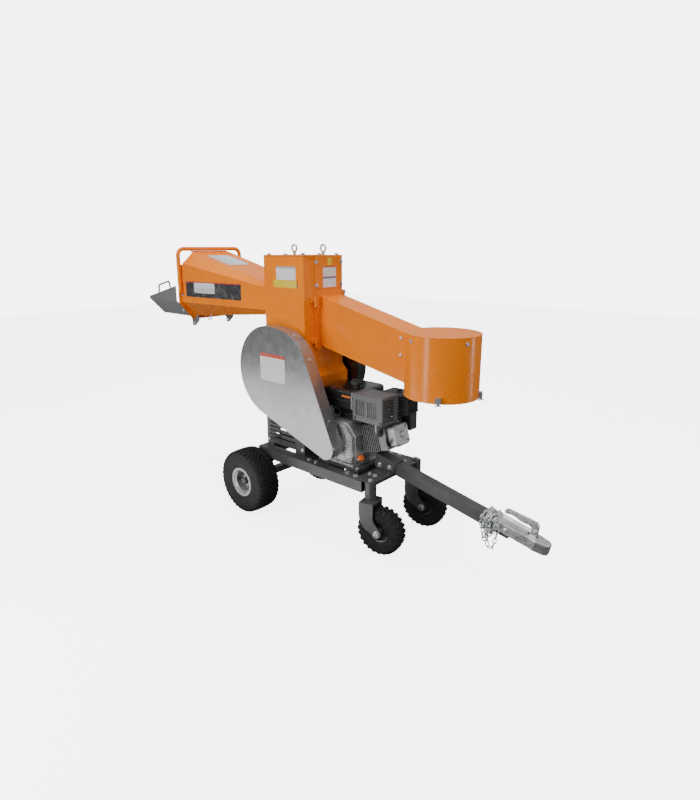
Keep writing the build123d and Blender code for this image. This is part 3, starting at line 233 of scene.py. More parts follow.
def heated_steel(name, colour=(0.23, 0.225, 0.22)):
    """Exhaust steel: satin grey with straw and brown heat tint."""
    t = Tree(name)
    tint = t.patches(11.0, 5.0, 0.42, 0.70, 0.0, 0.7, 0.6)
    base = t.mix(tint, colour, (0.22, 0.15, 0.09))
    normal = t.rounded_edge(0.8 * MM)[0]
    shine = t.patches(45.0, 5.0, 0.3, 0.7, 0.36, 0.58)
    skin = t.bump(t.noise(300.0, 4.0), 0.15, 0.3 * MM, normal)
    return t.done(base, shine, skin, metallic=0.8)


def worked_steel(name, colour=(0.42, 0.42, 0.43), roughness=0.34):
    """Turned or ground steel with fine tool lines and a thin brown bloom."""
    t = Tree(name)
    bloom = t.patches(20.0, 7.0, 0.52, 0.8, 0.0, 0.6, 0.7)
    base = t.mix(bloom, colour, (0.20, 0.12, 0.07))
    lines = t.noise(900.0, 2.0, stretch=(0.06, 1.0, 0.06))
    normal = t.rounded_edge(0.6 * MM)[0]
    shine = t.patches(60.0, 4.0, 0.3, 0.7, roughness - 0.06, roughness + 0.12)
    return t.done(base, shine, t.bump(lines, 0.12, 0.15 * MM, normal), metallic=1.0)


def sticker(name, ground, band, band_from, ink=None):
    """Glossy sticker without lettering: a plain ground with a coloured band at one end. UV runs 0..1."""
    t = Tree(name)
    split = t.node("SeparateXYZ")
    t.link(t.nodes["Texture Coordinate"].outputs["UV"], split.inputs["Vector"])
    edge = t.map_range(split.outputs["Y"], band_from - 0.004, band_from + 0.004, 0.0, 1.0)
    base = t.mix(edge, ground, band)
    if ink is not None:
        side = t.math("ABSOLUTE", t.math("SUBTRACT", split.outputs["X"], 0.5), 0.0)
        base = t.mix(t.map_range(side, 0.455, 0.46, 0.0, 1.0), base, ink)
    fade = t.patches(25.0, 6.0, 0.5, 0.8, 0.0, 0.25)
    base = t.mix(fade, base, (0.60, 0.57, 0.52))
    shine = t.patches(60.0, 4.0, 0.3, 0.7, 0.22, 0.38)
    return t.done(base, shine, t.bump(t.noise(160.0, 2.0), 0.05, 0.2 * MM), coat=0.3)


ORANGE = (0.98, 0.235, 0.0008)
orange_paint = powder_coat("orange_paint", ORANGE, 0.24, dust=0.0, edge=0.0, relief=0.02, specular=0.32)
frame_paint = powder_coat("frame_paint", (0.052, 0.053, 0.056), 0.42, dust=0.30, edge=0.7)
tray_paint = powder_coat("tray_paint", (0.16, 0.162, 0.165), 0.44, dust=0.1, edge=0.8)
guard_paint = powder_coat("guard_paint", (0.33, 0.333, 0.338), 0.22, dust=0.0, edge=0.0, grain=240.0,
                          metallic=0.7, relief=0.006)
black_paint = powder_coat("black_paint", (0.012, 0.012, 0.013), 0.26, dust=0.04, edge=0.5, coat=0.5,
                          grain=260.0, relief=0.008)
rim_paint = powder_coat("rim_paint", (0.30, 0.303, 0.306), 0.30, dust=0.15, edge=0.8, metallic=0.4)
rim_black = powder_coat("rim_black", (0.016, 0.016, 0.017), 0.32, dust=0.35, edge=0.9)
zinc = zinc_plate("zinc")
bright_zinc = zinc_plate("bright_zinc", (0.80, 0.81, 0.82), 0.20, 90.0)
pressed_steel = zinc_plate("pressed_steel", (0.72, 0.73, 0.74), 0.30, 24.0)
cast_alloy = cast_metal("cast_alloy", (0.52, 0.525, 0.53))
fin_alloy = cast_metal("fin_alloy", (0.20, 0.20, 0.205), soot=0.55)
cast_iron = cast_metal("cast_iron", (0.10, 0.10, 0.105), roughness=0.6, metallic=0.6)
tyre_rubber = rubber("tyre_rubber")
belt_rubber = rubber("belt_rubber", (0.014, 0.014, 0.014), 0.1)
black_plastic = moulded("black_plastic", (0.034, 0.034, 0.036))
orange_plastic = moulded("orange_plastic", (0.88, 0.16, 0.01), 0.34, relief=0.06, coat=0.2)
exhaust_steel = heated_steel("exhaust_steel")
guard_steel = powder_coat("guard_steel", (0.100, 0.101, 0.104), 0.34, dust=0.05, edge=1.2, grain=300.0,
                          relief=0.02)
steel = worked_steel("steel")

MATERIAL_OF = {
    orange_paint: "infeed_hopper hopper_rim tower_shell tower_cover drum_housing discharge_chute chute_hood "
                  "chute_hinges",
    frame_paint: "side_rails cross_tubes axle_beam caster_tubes drawbar_sleeve drawbar base_stand "
                 "engine_mount caster_fork_left caster_fork_right bed_knife drum_bearings",
    tray_paint: "infeed_tray tray_handle tray_hinge",
    guard_paint: "belt_guard",
    black_paint: "flywheel_guard fuel_tank recoil_housing",
    rim_paint: "rear_rim_left rear_rim_right",
    rim_black: "caster_rim_left caster_rim_right",
    zinc: "lifting_eyes chute_bolts throttle_lever throttle_post",
    steel: "drum_rotor drum_knives drum_shaft crankshaft",
    cast_iron: "drum_pulley engine_pulley flywheel",
    cast_alloy: "engine_crankcase rocker_cover",
    fin_alloy: "engine_cylinder",
    bright_zinc: "safety_chain",
    pressed_steel: "coupler_body coupler_latch",
    exhaust_steel: "muffler",
    guard_steel: "muffler_guard",
    black_plastic: "air_cleaner fuel_cap recoil_grip",
    orange_plastic: "oil_cap",
    belt_rubber: "drive_belts",
    tyre_rubber: "rear_tyre_left rear_tyre_right caster_tyre_left caster_tyre_right",
}
SLOT_OF = {
    orange_paint: "orange_paint", frame_paint: "dark_paint", black_paint: "black_paint",
    rim_paint: "rim_paint", rim_black: "black_paint", zinc: "zinc", bright_zinc: "zinc",
    cast_alloy: "aluminium", exhaust_steel: "steel", guard_steel: "steel",
    black_plastic: "black_plastic", belt_rubber: "rubber", tyre_rubber: "tyre",
}
for material, names in MATERIAL_OF.items():
    for name in names.split():
        node = frame["nodes"][name]
        node.data.materials.clear()
        node.data.materials.append(material)


# ---------------- mesh helpers
def mm(*points):
    """Profile or outline points given in millimetres."""
    return [(x * MM, y * MM) for x, y in points]


def turn_steps(count, start=0.0):
    """Angles that share out a full turn."""
    return [start + 2 * pi * k / count for k in range(count)]


def flat_arm(angle):
    """Unit vector at an angle in the floor's plane, or in a placement's X and Y."""
    return Vector((cos(angle), sin(angle), 0))


def side_arm(angle):
    """Unit vector at an angle in the plane of the machine's side."""
    return Vector((cos(angle), 0, sin(angle)))


class Piece:
    """Vertices and faces gathered for one visible piece."""

    def __init__(self):
        self.points = []
        self.faces = []

    def add(self, points, faces, place=None):
        base = len(self.points)
        self.points += [place @ Vector(p) if place else Vector(p) for p in points]
        self.faces += [tuple(base + i for i in face) for face in faces]

    def finish(self, name, material, body="frame", smooth=38.0, bevel=0.0, slot=None):
        mesh = bpy.data.meshes.new(name)
        mesh.from_pydata([tuple(p) for p in self.points], [], self.faces)
        bm = bmesh.new()
        bm.from_mesh(mesh)
        bmesh.ops.recalc_face_normals(bm, faces=bm.faces)
        bm.to_mesh(mesh)
        bm.free()
        mesh.materials.append(material)
        mesh.shade_smooth()
        mesh.set_sharp_from_angle(angle=radians(smooth))
        piece = bpy.data.objects.new(name, mesh)
        bpy.context.scene.collection.objects.link(piece)
        if bevel:
            rounding = piece.modifiers.new("rounding", "BEVEL")
            rounding.width = bevel
            rounding.segments = 2
            rounding.limit_method = "ANGLE"
            rounding.angle_limit = radians(40)
        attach(piece, body)
        slot = slot or SLOT_OF[material]
        return piece


def frame_at(origin, axis, across=(0, 0, 1)):
    """Placement whose local Z runs along axis and whose local X lies near across."""
    z = Vector(axis).normalized()
    x = Vector(across) - z * Vector(across).dot(z)
    if x.length < 1e-6:
        x = z.orthogonal()
    x.normalize()
    y = z.cross(x)
    rotation = Matrix((x, y, z)).transposed().to_4x4()
    return Matrix.Translation(origin) @ rotation


def lathe(piece, profile, place, sides=48, closed=False):
    """Surface of revolution about local Z; profile is (radius, height)."""
    points, faces = [], []
    count = len(profile)
    for radius, height in profile:
        for k in range(sides):
            a = 2 * pi * k / sides
            points.append((radius * cos(a), radius * sin(a), height))
    spans = count if closed else count - 1
    for i in range(spans):
        j = (i + 1) % count
        for k in range(sides):
            n = (k + 1) % sides
            faces.append((i * sides + k, i * sides + n, j * sides + n, j * sides + k))
    if not closed:
        faces.append(tuple(range(sides)))
        faces.append(tuple((count - 1) * sides + k for k in reversed(range(sides))))
    piece.add(points, faces, place)


def slab(piece, outline, low, high, place):
    """Outline of local (x, y) points, raised from low to high along local Z."""
    n = len(outline)
    points = [(x, y, low) for x, y in outline] + [(x, y, high) for x, y in outline]
    faces = [tuple(reversed(range(n))), tuple(range(n, 2 * n))]
    faces += [(i, (i + 1) % n, n + (i + 1) % n, n + i) for i in range(n)]
    piece.add(points, faces, place)


def rounded_rect(width, height, radius, steps=5):
    outline = []
    for cx, cy, start in ((1, 1, 0), (-1, 1, 90), (-1, -1, 180), (1, -1, 270)):
        for k in range(steps + 1):
            a = radians(start + 90 * k / steps)
            x, y = cx * (width / 2 - radius), cy * (height / 2 - radius)
            outline.append((x + radius * cos(a), y + radius * sin(a)))
    return outline


def ring_of(radius, sides, turn=0.0):
    return [(radius * cos(a), radius * sin(a)) for a in turn_steps(sides, turn)]


def tube(piece, path, radius, sides=12, closed=False):
    """Round bar along a list of points; radius is a number or a list, one for each point."""
    path = [Vector(p) for p in path]
    count = len(path)
    points, faces = [], []
    side = None
    for i, p in enumerate(path):
        before = path[(i - 1) % count] if closed or i else p
        after = path[(i + 1) % count] if closed or i < count - 1 else p
        along = (after - before).normalized()
        side = along.orthogonal() if side is None else side - along * side.dot(along)
        side.normalize()
        other = along.cross(side)
        r = radius[i] if isinstance(radius, list) else radius
        for k in range(sides):
            a = 2 * pi * k / sides
            points.append(p + side * (r * cos(a)) + other * (r * sin(a)))
    for i in range(count if closed else count - 1):
        j = (i + 1) % count
        for k in range(sides):
            n = (k + 1) % sides
            faces.append((i * sides + k, i * sides + n, j * sides + n, j * sides + k))
    if not closed:
        faces.append(tuple(reversed(range(sides))))
        faces.append(tuple((count - 1) * sides + k for k in range(sides)))
    piece.add(points, faces)


def hoop(piece, place, radius, height, wire, count):
    """Closed round bead about a placement's Z."""
    ring = [place @ Vector((x, y, height)) for x, y in ring_of(radius, count)]
    tube(piece, ring, wire, 8, closed=True)


def bolt(piece, at, axis, size):
    """Washer and chamfered hexagon head; size is the head's width in mm."""
    s = size * MM
    place = frame_at(at, axis, (0.3, 0.2, 0.9))
    washer = [(0.55, 0), (1.12, 0), (1.15, 0.05), (1.12, 0.16), (0.6, 0.16)]
    lathe(piece, [(r * s, h * s) for r, h in washer], place, 28)
    rings = [(0.86, 0.16), (0.90, 0.22), (0.90, 0.66), (0.78, 0.78)]
    head_turn = 0.3
    points, faces = [], []
    for radius, height in rings:
        points += [(x, y, height * s) for x, y in ring_of(radius * s, 6, head_turn)]
    for i in range(len(rings) - 1):
        a, b = i * 6, i * 6 + 6
        faces += [(a + k, a + (k + 1) % 6, b + (k + 1) % 6, b + k) for k in range(6)]
    top = (len(rings) - 1) * 6
    faces += [tuple(range(top, top + 6)), tuple(reversed(range(6)))]
    piece.add(points, faces, place)


def weld(piece, path, radius, pitch=4.0 * MM):
    """Bead of small overlapping ripples along straight runs between points."""
    for a, b in zip(path, path[1:]):
        a, b = Vector(a), Vector(b)
        steps = max(4, int((b - a).length / (pitch / 3)))
        line = [a.lerp(b, k / steps) for k in range(steps + 1)]
        ripple = [radius * (0.82 + 0.18 * cos(2 * pi * k / 3)) for k in range(steps + 1)]
        ripple[0] = ripple[-1] = radius * 0.4
        tube(piece, line, ripple, 7)


def decal(name, material, centre, normal, width, height, slot="orange_paint", up=(0, 0, 1)):
    """Thin sticker with rounded corners, whose UV runs 0..1 across it."""
    place = frame_at(centre, normal, Vector(up).cross(Vector(normal)))
    outline = rounded_rect(width, height, min(width, height) * 0.08)
    piece = Piece()
    slab(piece, outline, 0.05 * MM, 0.45 * MM, place)
    made = piece.finish(name, material, slot=slot)
    layer = made.data.uv_layers.new(name="UVMap")
    inverse = place.inverted()
    for loop in made.data.loops:
        local = inverse @ made.data.vertices[loop.vertex_index].co
        layer.data[loop.index].uv = (local.x / width + 0.5, local.y / height + 0.5)
    return made


# ---------------- tyres
def tyre_profile(radius, half, seat, bead_half, lip_rise):
    """Cross-section (radius, across) from bead to bead with a rounded, ribbed sidewall."""
    lip = seat + lip_rise
    side = [(seat, bead_half - 0.004), (seat + 0.003, bead_half), (lip, bead_half),
            (lip + 0.001, bead_half + 0.004)]
    span = radius - lip
    bulge = half - bead_half - 0.004
    for k in range(9):
        t = k / 8
        rib = 0.0016 if k in (3, 5) else 0.0
        rise = sin(pi * min(1, t * 1.35) / 2)
        side.append((lip + 0.003 + (span - 0.021) * t, bead_half + 0.005 + (bulge - 0.004) * rise + rib))
    shoulder = radius - 0.012
    side += [(shoulder - 0.002, half - 0.007), (shoulder + 0.004, half - 0.018),
             (shoulder + 0.005, half * 0.35)]
    return side + [(r, -a) for r, a in reversed(side)]


def tread_block(piece, wheel, radius, angle, across, size, skew, crown):
    """One raised block on the crown, with drafted sides; size is (length, width, depth) in mm."""
    length, width, depth = (v * MM for v in size)
    points = []
    for level, shrink in ((-depth, 1.10), (0.0, 0.86)):
        for u, v in ((-1, -1), (1, -1), (1, 1), (-1, 1)):
            a = angle + (u * length / 2 * shrink + v * skew * shrink) / radius
            y = across + v * width / 2 * shrink
            r = radius + level - crown * abs(y) ** 2
            points.append((r * cos(a), r * sin(a), y))
    faces = [(3, 2, 1, 0), (4, 5, 6, 7), (0, 1, 5, 4), (1, 2, 6, 5), (2, 3, 7, 6), (3, 0, 4, 7)]
    piece.add(points, faces, wheel)


def shoulder_lug(piece, wheel, radius, half, angle, side, length, depth):
    """Lug that wraps from the crown down over the shoulder."""
    rows = [(radius - 0.0005, half * 0.60), (radius - 0.002, half * 0.80), (radius - 0.007, half - 0.006),
            (radius - 0.018, half - 0.0008), (radius - 0.030, half - 0.0004)]
    points, faces = [], []
    for r, y in rows:
        for u in (-1, 1):
            a = angle + u * length / 2 / radius
            points.append((r * cos(a), r * sin(a), side * y))
    for r, y in rows:
        for u in (-1, 1):
            a = angle + u * length * 0.56 / radius
            points.append(((r - depth) * cos(a), (r - depth) * sin(a), side * max(y - depth * 0.7, 0)))
    n = len(rows)
    for i in range(n - 1):
        a, b = 2 * i, 2 * n + 2 * i
        faces += [(a, a + 1, a + 3, a + 2), (b, b + 2, b + 3, b + 1)]
        faces += [(a, a + 2, b + 2, b), (a + 1, b + 1, b + 3, a + 3)]
    faces += [(0, 2 * n, 2 * n + 1, 1), (2 * n - 2, 2 * n - 1, 4 * n - 1, 4 * n - 2)]
    piece.add(points, faces, wheel)


def wheel_place(node, axis):
    low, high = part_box(node)
    return frame_at((low + high) / 2, axis, UP)


def rear_tyre(side):
    """Rear tyre: a middle row of blocks, three skewed rows on each side of it, and shoulder lugs."""
    node = f"rear_tyre_{side}"
    low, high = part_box(node)
    radius = (high.z - low.z) / 2
    half = (high.y - low.y) / 2
    wheel = wheel_place(node, FAR)
    piece = Piece()
    lathe(piece, tyre_profile(radius, half, 76 * MM, 61.9 * MM, 13 * MM), wheel, 96, closed=True)
    count, block, skew = 38, (19, 11, 7), 4 * MM
    step = pi / count
    # Each row: drop below the crown, offset from the middle, turn, block size and how fast it falls away.
    rows = ((0.5, 14.5, step, block, 0.5), (0.7, 29, 0.0, block, 0.7), (0.9, 43, step, (18, 12, 7), 1.0))
    for a in turn_steps(count):
        tread_block(piece, wheel, radius - 0.5 * MM, a, 0, block, 0, 0.5)
        for sign in (-1, 1):
            for drop, across, turn, size, crown in rows:
                tread_block(piece, wheel, radius - drop * MM, a + turn, sign * across * MM, size,
                            sign * skew, crown)
            shoulder_lug(piece, wheel, radius - 2.4 * MM, half, a, sign, 13 * MM, 7 * MM)
    made = piece.finish(node + "_tread", tyre_rubber, f"rear_wheel_{side}", smooth=40)
    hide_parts(node)


def caster_tyre(side):
    """Caster tyre: three rows of blocks and shoulder lugs that alternate from side to side."""
    node = f"caster_tyre_{side}"
    spin = joints[f"caster_{side}_spin"]
    low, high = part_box(node)
    radius = (high.z - low.z) / 2
    half = 42 * MM
    wheel = frame_at((low + high) / 2, spin["axis"], UP)
    piece = Piece()
    lathe(piece, tyre_profile(radius, half - 0.5 * MM, 54 * MM, 32 * MM, 3 * MM), wheel, 80, closed=True)
    count, skew = 24, 3 * MM
    step = pi / count
    for a in turn_steps(count):
        tread_block(piece, wheel, radius - 0.4 * MM, a, 0, (17, 20, 9), 0, 0.6)
        for sign in (-1, 1):
            tread_block(piece, wheel, radius - 0.8 * MM, a + step, sign * 17 * MM, (16, 14, 9),
                        sign * skew, 1.5)
            lug_angle = a + step * (sign > 0)
            shoulder_lug(piece, wheel, radius - 2.0 * MM, half - 0.3 * MM, lug_angle, sign, 17 * MM, 9 * MM)
    made = piece.finish(node + "_tread", tyre_rubber, f"caster_wheel_{side}", smooth=40, bevel=0.9 * MM)
    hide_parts(node)


for side in ("left", "right"):
    rear_tyre(side)
    caster_tyre(side)


# ---------------- wheels' hardware
REAR_HUB = mm((31, 6), (31, 12), (22, 16), (21, 44), (18, 51), (10, 54), (3, 55))
CASTER_HUB = mm((19, 20), (22, 28), (19, 31), (15, 44), (9, 45.5))


def rear_hub(side, sign):
    """Dark hub sleeve with a domed cap and bolts, the rim's two rolled edges and a valve stem."""
    wheel = wheel_place(f"rear_tyre_{side}", (0, sign, 0))
    body = f"rear_wheel_{side}"
    hub = Piece()
    lathe(hub, REAR_HUB, wheel, 40)
    bolt_circle, bolt_level = 0.040, 0.0085
    for x, y in ring_of(bolt_circle, 4, pi / 4):
        bolt(hub, wheel @ Vector((x, y, bolt_level)), (0, sign, 0), 9)
    hub.finish(f"rear_hub_{side}", frame_paint, body, slot="black_paint")
    edge = Piece()
    hoop(edge, wheel, 86.5 * MM, 65.5 * MM, 1.6 * MM, 72)
    hoop(edge, wheel, 61.5 * MM, 50 * MM, 1.4 * MM, 64)
    edge.finish(f"rear_rim_beads_{side}", rim_paint, body)
    stem = Piece()
    root = wheel @ Vector((0.0, 57 * MM, 30 * MM))
    tip = wheel @ Vector((0.0, 50 * MM, 60 * MM))
    steps = ((0, 5), (0.35, 4.4), (0.4, 3.2), (0.75, 3.2), (0.78, 4.0), (1.0, 3.6))
    tube(stem, [root.lerp(tip, t) for t, r in steps], [r * MM for t, r in steps], 12)
    stem.finish(f"valve_stem_{side}", black_plastic, body)


def caster_hardware(side):
    """Hub flanges with bolts, axle nuts with washers, and split pins."""
    spin = joints[f"caster_{side}_spin"]
    centre = Vector(spin["pos_m"])
    axis = Vector(spin["axis"]).normalized()
    hub = Piece()
    bolt_circle, bolt_level, nut_level, pin_level = 0.033, 0.0185, 0.0562, 0.070
    for sign in (-1, 1):
        place = frame_at(centre, axis * sign, UP)
        lathe(hub, CASTER_HUB, place, 36)
        for x, y in ring_of(bolt_circle, 4):
            bolt(hub, place @ Vector((x, y, bolt_level)), axis * sign, 7)
    hub.finish(f"caster_hub_{side}", rim_black, f"caster_wheel_{side}")
    nuts = Piece()
    for sign in (-1, 1):
        bolt(nuts, centre + axis * sign * nut_level, axis * sign, 17)
        pin = frame_at(centre + axis * sign * pin_level, (1, 0.2, 0.1), axis * sign)
        line = [pin @ Vector((0, 0, z)) for z in (-0.011, 0.0, 0.011, 0.0135)]
        tube(nuts, line, [1.6 * MM] * 3 + [2.4 * MM], 8)
    nuts.finish(f"caster_axle_nuts_{side}", zinc, f"caster_{side}")


for side, sign in (("left", 1), ("right", -1)):
    rear_hub(side, sign)
    caster_hardware(side)


# ---------------- stickers, all without lettering
tower_low, tower_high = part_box("tower_shell")
guard_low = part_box("belt_guard")[0]
white_blue = sticker("sticker_white_blue", (0.82, 0.83, 0.84), (0.08, 0.16, 0.42), 0.86)
white_red = sticker("sticker_white_red", (0.80, 0.80, 0.79), (0.62, 0.07, 0.04), 0.88)
white_grey = sticker("sticker_white_grey", (0.82, 0.82, 0.82), (0.42, 0.43, 0.44), 0.86)
yellow_bar = sticker("sticker_yellow", (0.86, 0.62, 0.02), (0.86, 0.62, 0.02), 0.9, ink=(0.05, 0.05, 0.05))
side_band = sticker("sticker_side", (0.035, 0.036, 0.04), (0.55, 0.05, 0.03), 0.93)
silver_sheet = sticker("sticker_silver", (0.62, 0.63, 0.64), (0.72, 0.76, 0.84), 0.5)

tower_face, panel_face, guard_face = tower_low.y, tower_high.x, guard_low.y
decal("tower_plate", white_grey, (-0.110, tower_face, 1.399), NEAR, 0.156, 0.072)
decal("tower_bar", yellow_bar, (-0.115, tower_face, 1.341), NEAR, 0.196, 0.040)
decal("panel_bar", yellow_bar, (panel_face, 0.046, 1.462), FRONT, 0.034, 0.040)
decal("panel_top", white_red, (panel_face, 0.044, 1.408), FRONT, 0.104, 0.056)
decal("panel_low", white_blue, (panel_face, 0.044, 1.349), FRONT, 0.104, 0.056)
decal("guard_plate", white_red, (-0.131, guard_face, 0.882), NEAR, 0.206, 0.156, "guard_paint")


def hopper_wall(t, u, side):
    """Point on the hopper's side: t from the mouth to the tower, u from its low fold to its high fold."""
    mouth = Vector((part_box("infeed_hopper")[0].x, side * 0.228, 1.190 + 0.251 * u))
    throat = Vector((tower_low.x, side * 0.146, 1.185 + 0.127 * u))
    return mouth.lerp(throat, t)


for name, side in (("near", -1), ("far", 1)):
    along = hopper_wall(0.55, 0.44, side) - hopper_wall(0.25, 0.44, side)
    out = along.cross(Vector(UP)).normalized()
    out *= math.copysign(1, out.y * side)
    decal(f"hopper_band_{name}", side_band, hopper_wall(0.40, 0.44, side), out, 0.500, 0.098)
    oval_centre = hopper_wall(0.30, 0.46, side) + out * 0.5 * MM
    decal(f"hopper_oval_{name}", silver_sheet, oval_centre, out, 0.19, 0.064)
hopper_slope = Vector((0.746, 0, -0.179))
top_normal = hopper_slope.cross(Vector(FAR)).normalized()
decal("hopper_top_sheet", silver_sheet, (-0.80, -0.02, 1.457), top_normal, 0.24, 0.16, up=FAR)


# ---------------- bolts
def bolt_group(name, places, size, body="frame"):
    """One piece of equal bolts; places are (point, direction) and size is the width of the head in mm."""
    piece = Piece()
    for at, axis in places:
        bolt(piece, at, axis, size)
    piece.finish(name, zinc, body)


def level_places(xs, ys, z):
    return [((x, y, z), UP) for x in xs for y in ys]


def side_places(xs, y, zs):
    """Places that face outwards on the near and the far side, at equal distances from the middle."""
    return [((x, s * y, z), (0, s, 0)) for x in xs for z in zs for s in (-1, 1)]


drum = Vector(joints["drum_spin"]["pos_m"])
crank = Vector(joints["engine_spin"]["pos_m"])
cover_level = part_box("tower_cover")[1].z - 7 * MM
bolt_group("cover_bolts", level_places((-0.267, -0.130, 0.006), (-0.132, 0.132), cover_level), 12)
panel_places = [((panel_face, y, z), FRONT) for y in (-0.060, 0.138) for z in (1.459, 1.335)]
bolt_group("panel_bolts", panel_places, 10)
guard_middle = guard_low.y + 0.0375


def guard_arc_place(angle):
    """Place on the belt guard's round top, whose front and rear arcs have their own centres and radii."""
    out = side_arm(radians(angle))
    shift, reach = (0.030, 0.2515) if out.x > 0 else (-0.030, 0.2605)
    return Vector((drum.x + shift, guard_middle, drum.z)) + out * reach, out


rim_places = [guard_arc_place(angle) for angle in (100, 62, 24, 150, 200, 245)]
slant_top, slant_foot = Vector((0.118, guard_middle, 0.935)), Vector((0.320, guard_middle, 0.531))
slant_out = Vector((slant_top.z - slant_foot.z, 0, slant_foot.x - slant_top.x)).normalized()
rim_places += [(slant_top.lerp(slant_foot, t) + slant_out * 1.0 * MM, slant_out) for t in (0.33, 0.72)]
bolt_group("guard_rim_bolts", rim_places, 9)

rail_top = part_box("side_rails")[1].z
stand_side, bearing_reach, plate_thickness = 0.1722, 0.038, 6 * MM
bolt_group("rail_bolts", level_places((0.085, 0.140, 0.372, 0.430), (-0.190, 0.190), rail_top), 12)
bolt_group("stand_bolts", side_places((-0.275, 0.014), stand_side, (0.41, 0.66)), 10)
bolt_group("sleeve_bolts", side_places((0.470, 0.535), 0.0362, (0.404,)), 13)
bolt_group("plate_bolts", level_places((0.478, 0.513), (-0.130, 0.130), rail_top + plate_thickness), 12)
for side in ("left", "right"):
    at = Vector(joints[f"caster_{side}_swivel"]["pos_m"])
    at.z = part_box(f"caster_fork_{side}")[1].z - 8 * MM
    bolt_group(f"swivel_bolt_{side}", [(at, UP)], 13, body=f"caster_{side}")
bearing_xs = (drum.x - bearing_reach, drum.x + bearing_reach)
bearing_zs = (drum.z - bearing_reach, drum.z + bearing_reach)
bolt_group("bearing_bolts", side_places(bearing_xs, stand_side, bearing_zs), 12)

hood_low, hood_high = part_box("chute_hood")
hood_centre = Vector(((hood_low.x + hood_high.x) / 2, (hood_low.y + hood_high.y) / 2, 0))
hood_radius = (hood_high.x - hood_low.x) / 2


def hood_place(angle, grow, z):
    """Place around the chute's round hood, grow outside its wall, and the direction outwards."""
    out = flat_arm(radians(angle))
    return hood_centre + out * (hood_radius + grow) + Vector((0, 0, z)), out


hood_places = [hood_place(angle, 0.0, hood_high.z - 0.030) for angle in (-112, -22, 66, 150)]
bolt_group("hood_bolts", hood_places, 9, body="chute")
NUT_COLLAR = mm((4.5, 0), (7, 0.5), (6.5, 6), (4.8, 8))
NUT_WING = mm((5, 1), (13, 6), (15, 14), (10, 14), (5, 7))


def wing_nut(piece, at):
    """Wing nut under a hood bracket: a collar with two raised wings."""
    place = frame_at(at, (0, 0, -1))
    lathe(piece, NUT_COLLAR, place, 20)
    stand = place @ Matrix.Rotation(pi / 2, 4, "X")
    for s in (-1, 1):
        wing = [(s * x, y) for x, y in NUT_WING]
        slab(piece, wing if s > 0 else wing[::-1], -1.2 * MM, 1.2 * MM, stand)


wings = Piece()
for angle in (-62, 20, 118):
    wing_nut(wings, hood_place(angle, 10 * MM, hood_low.z + 3 * MM)[0])
wings.finish("wing_nuts", zinc, "chute")


# ---------------- seams and welds
BEAD, WIDE_BEAD = 2.2 * MM, 2.4 * MM
seam_y, seam_x, chute_x = tower_face - 0.5 * MM, tower_low.x - 0.5 * MM, 0.0375
throat_seam = [(-0.146, 1.166), (-0.146, 1.312), (-0.121, 1.334), (0.121, 1.334)]
chute_seam = [(-0.0305, 1.002), (-0.0305, 1.277), (0.1455, 1.277), (0.1455, 1.002)]
beads = Piece()
weld(beads, [(tower_low.x + 0.002, seam_y, 1.000), (tower_high.x - 0.004, seam_y, 1.000)], BEAD)
weld(beads, [(seam_x, y, z) for y, z in throat_seam], WIDE_BEAD)
beads.finish("tower_welds", orange_paint, smooth=70)
chute_bead = Piece()
weld(chute_bead, [(chute_x, y, z) for y, z in chute_seam], BEAD)
chute_bead.finish("chute_welds", orange_paint, "chute", smooth=70)
rolled = Piece()
for level, wire in ((hood_high.z - 1.2 * MM, 1.6 * MM), (hood_low.z + 1.4 * MM, 1.8 * MM)):
    hoop(rolled, Matrix.Translation(hood_centre), hood_radius - 0.8 * MM, level, wire, 120)
rolled.finish("hood_rolled_edges", orange_paint, "chute", smooth=70)

frame_welds = Piece()
swivel = Vector(joints["caster_left_swivel"]["pos_m"])
tube_centres, tube_half = (-0.282, -0.0295, 0.1485, 0.3335, 0.472), 0.030
rail_face, weld_top, weld_drop = 0.1672, 0.3762, 0.058
socket_radius, socket_level = 0.031, 0.3135
for s in (-1, 1):
    for x in tube_centres:
        for edge_x in (-tube_half, tube_half):
            top = Vector((x + edge_x, s * rail_face, weld_top))
            weld(frame_welds, [top, top + Vector((0, -s * 0.001, -weld_drop))], WIDE_BEAD)
    socket = Vector((swivel.x, s * swivel.y, socket_level))
    weld(frame_welds, [socket + flat_arm(k * pi / 20) * socket_radius for k in range(8, 33)], WIDE_BEAD)
frame_welds.finish("frame_welds", frame_paint, smooth=70)


# ---------------- safety chain, wound on the drawbar and hanging
def chain_link(piece, at, along, flat, length=32 * MM, width=20 * MM, wire=2.6 * MM):
    """Oval link: along is its length, flat the normal of its plane."""
    place = frame_at(at, flat, along)
    straight, bend = (length - width) / 2, width / 2 - wire
    line = []
    for a in turn_steps(20):
        shift = straight if cos(a) > 0 else -straight
        line.append(place @ Vector((bend * cos(a) + shift, bend * sin(a), 0)))
    tube(piece, line, wire, 8, closed=True)


def lay_links(piece, line, twist=0.0, pitch=24 * MM):
    """Links along a list of points, each turned a quarter turn from the last."""
    length = [0.0]
    for a, b in zip(line, line[1:]):
        length.append(length[-1] + (b - a).length)
    count = int(length[-1] / pitch)
    for i in range(count):
        s = (i + 0.5) * length[-1] / count
        k = max(j for j in range(len(line) - 1) if length[j] <= s)
        a, b = line[k], line[k + 1]
        at = a.lerp(b, (s - length[k]) / (length[k + 1] - length[k]))
        along = (b - a).normalized()
        side = along.cross(Vector((0.3, 1.0, 0.2))).normalized()
        chain_link(piece, at, along, Matrix.Rotation(twist + (i % 2) * pi / 2, 3, along) @ side)


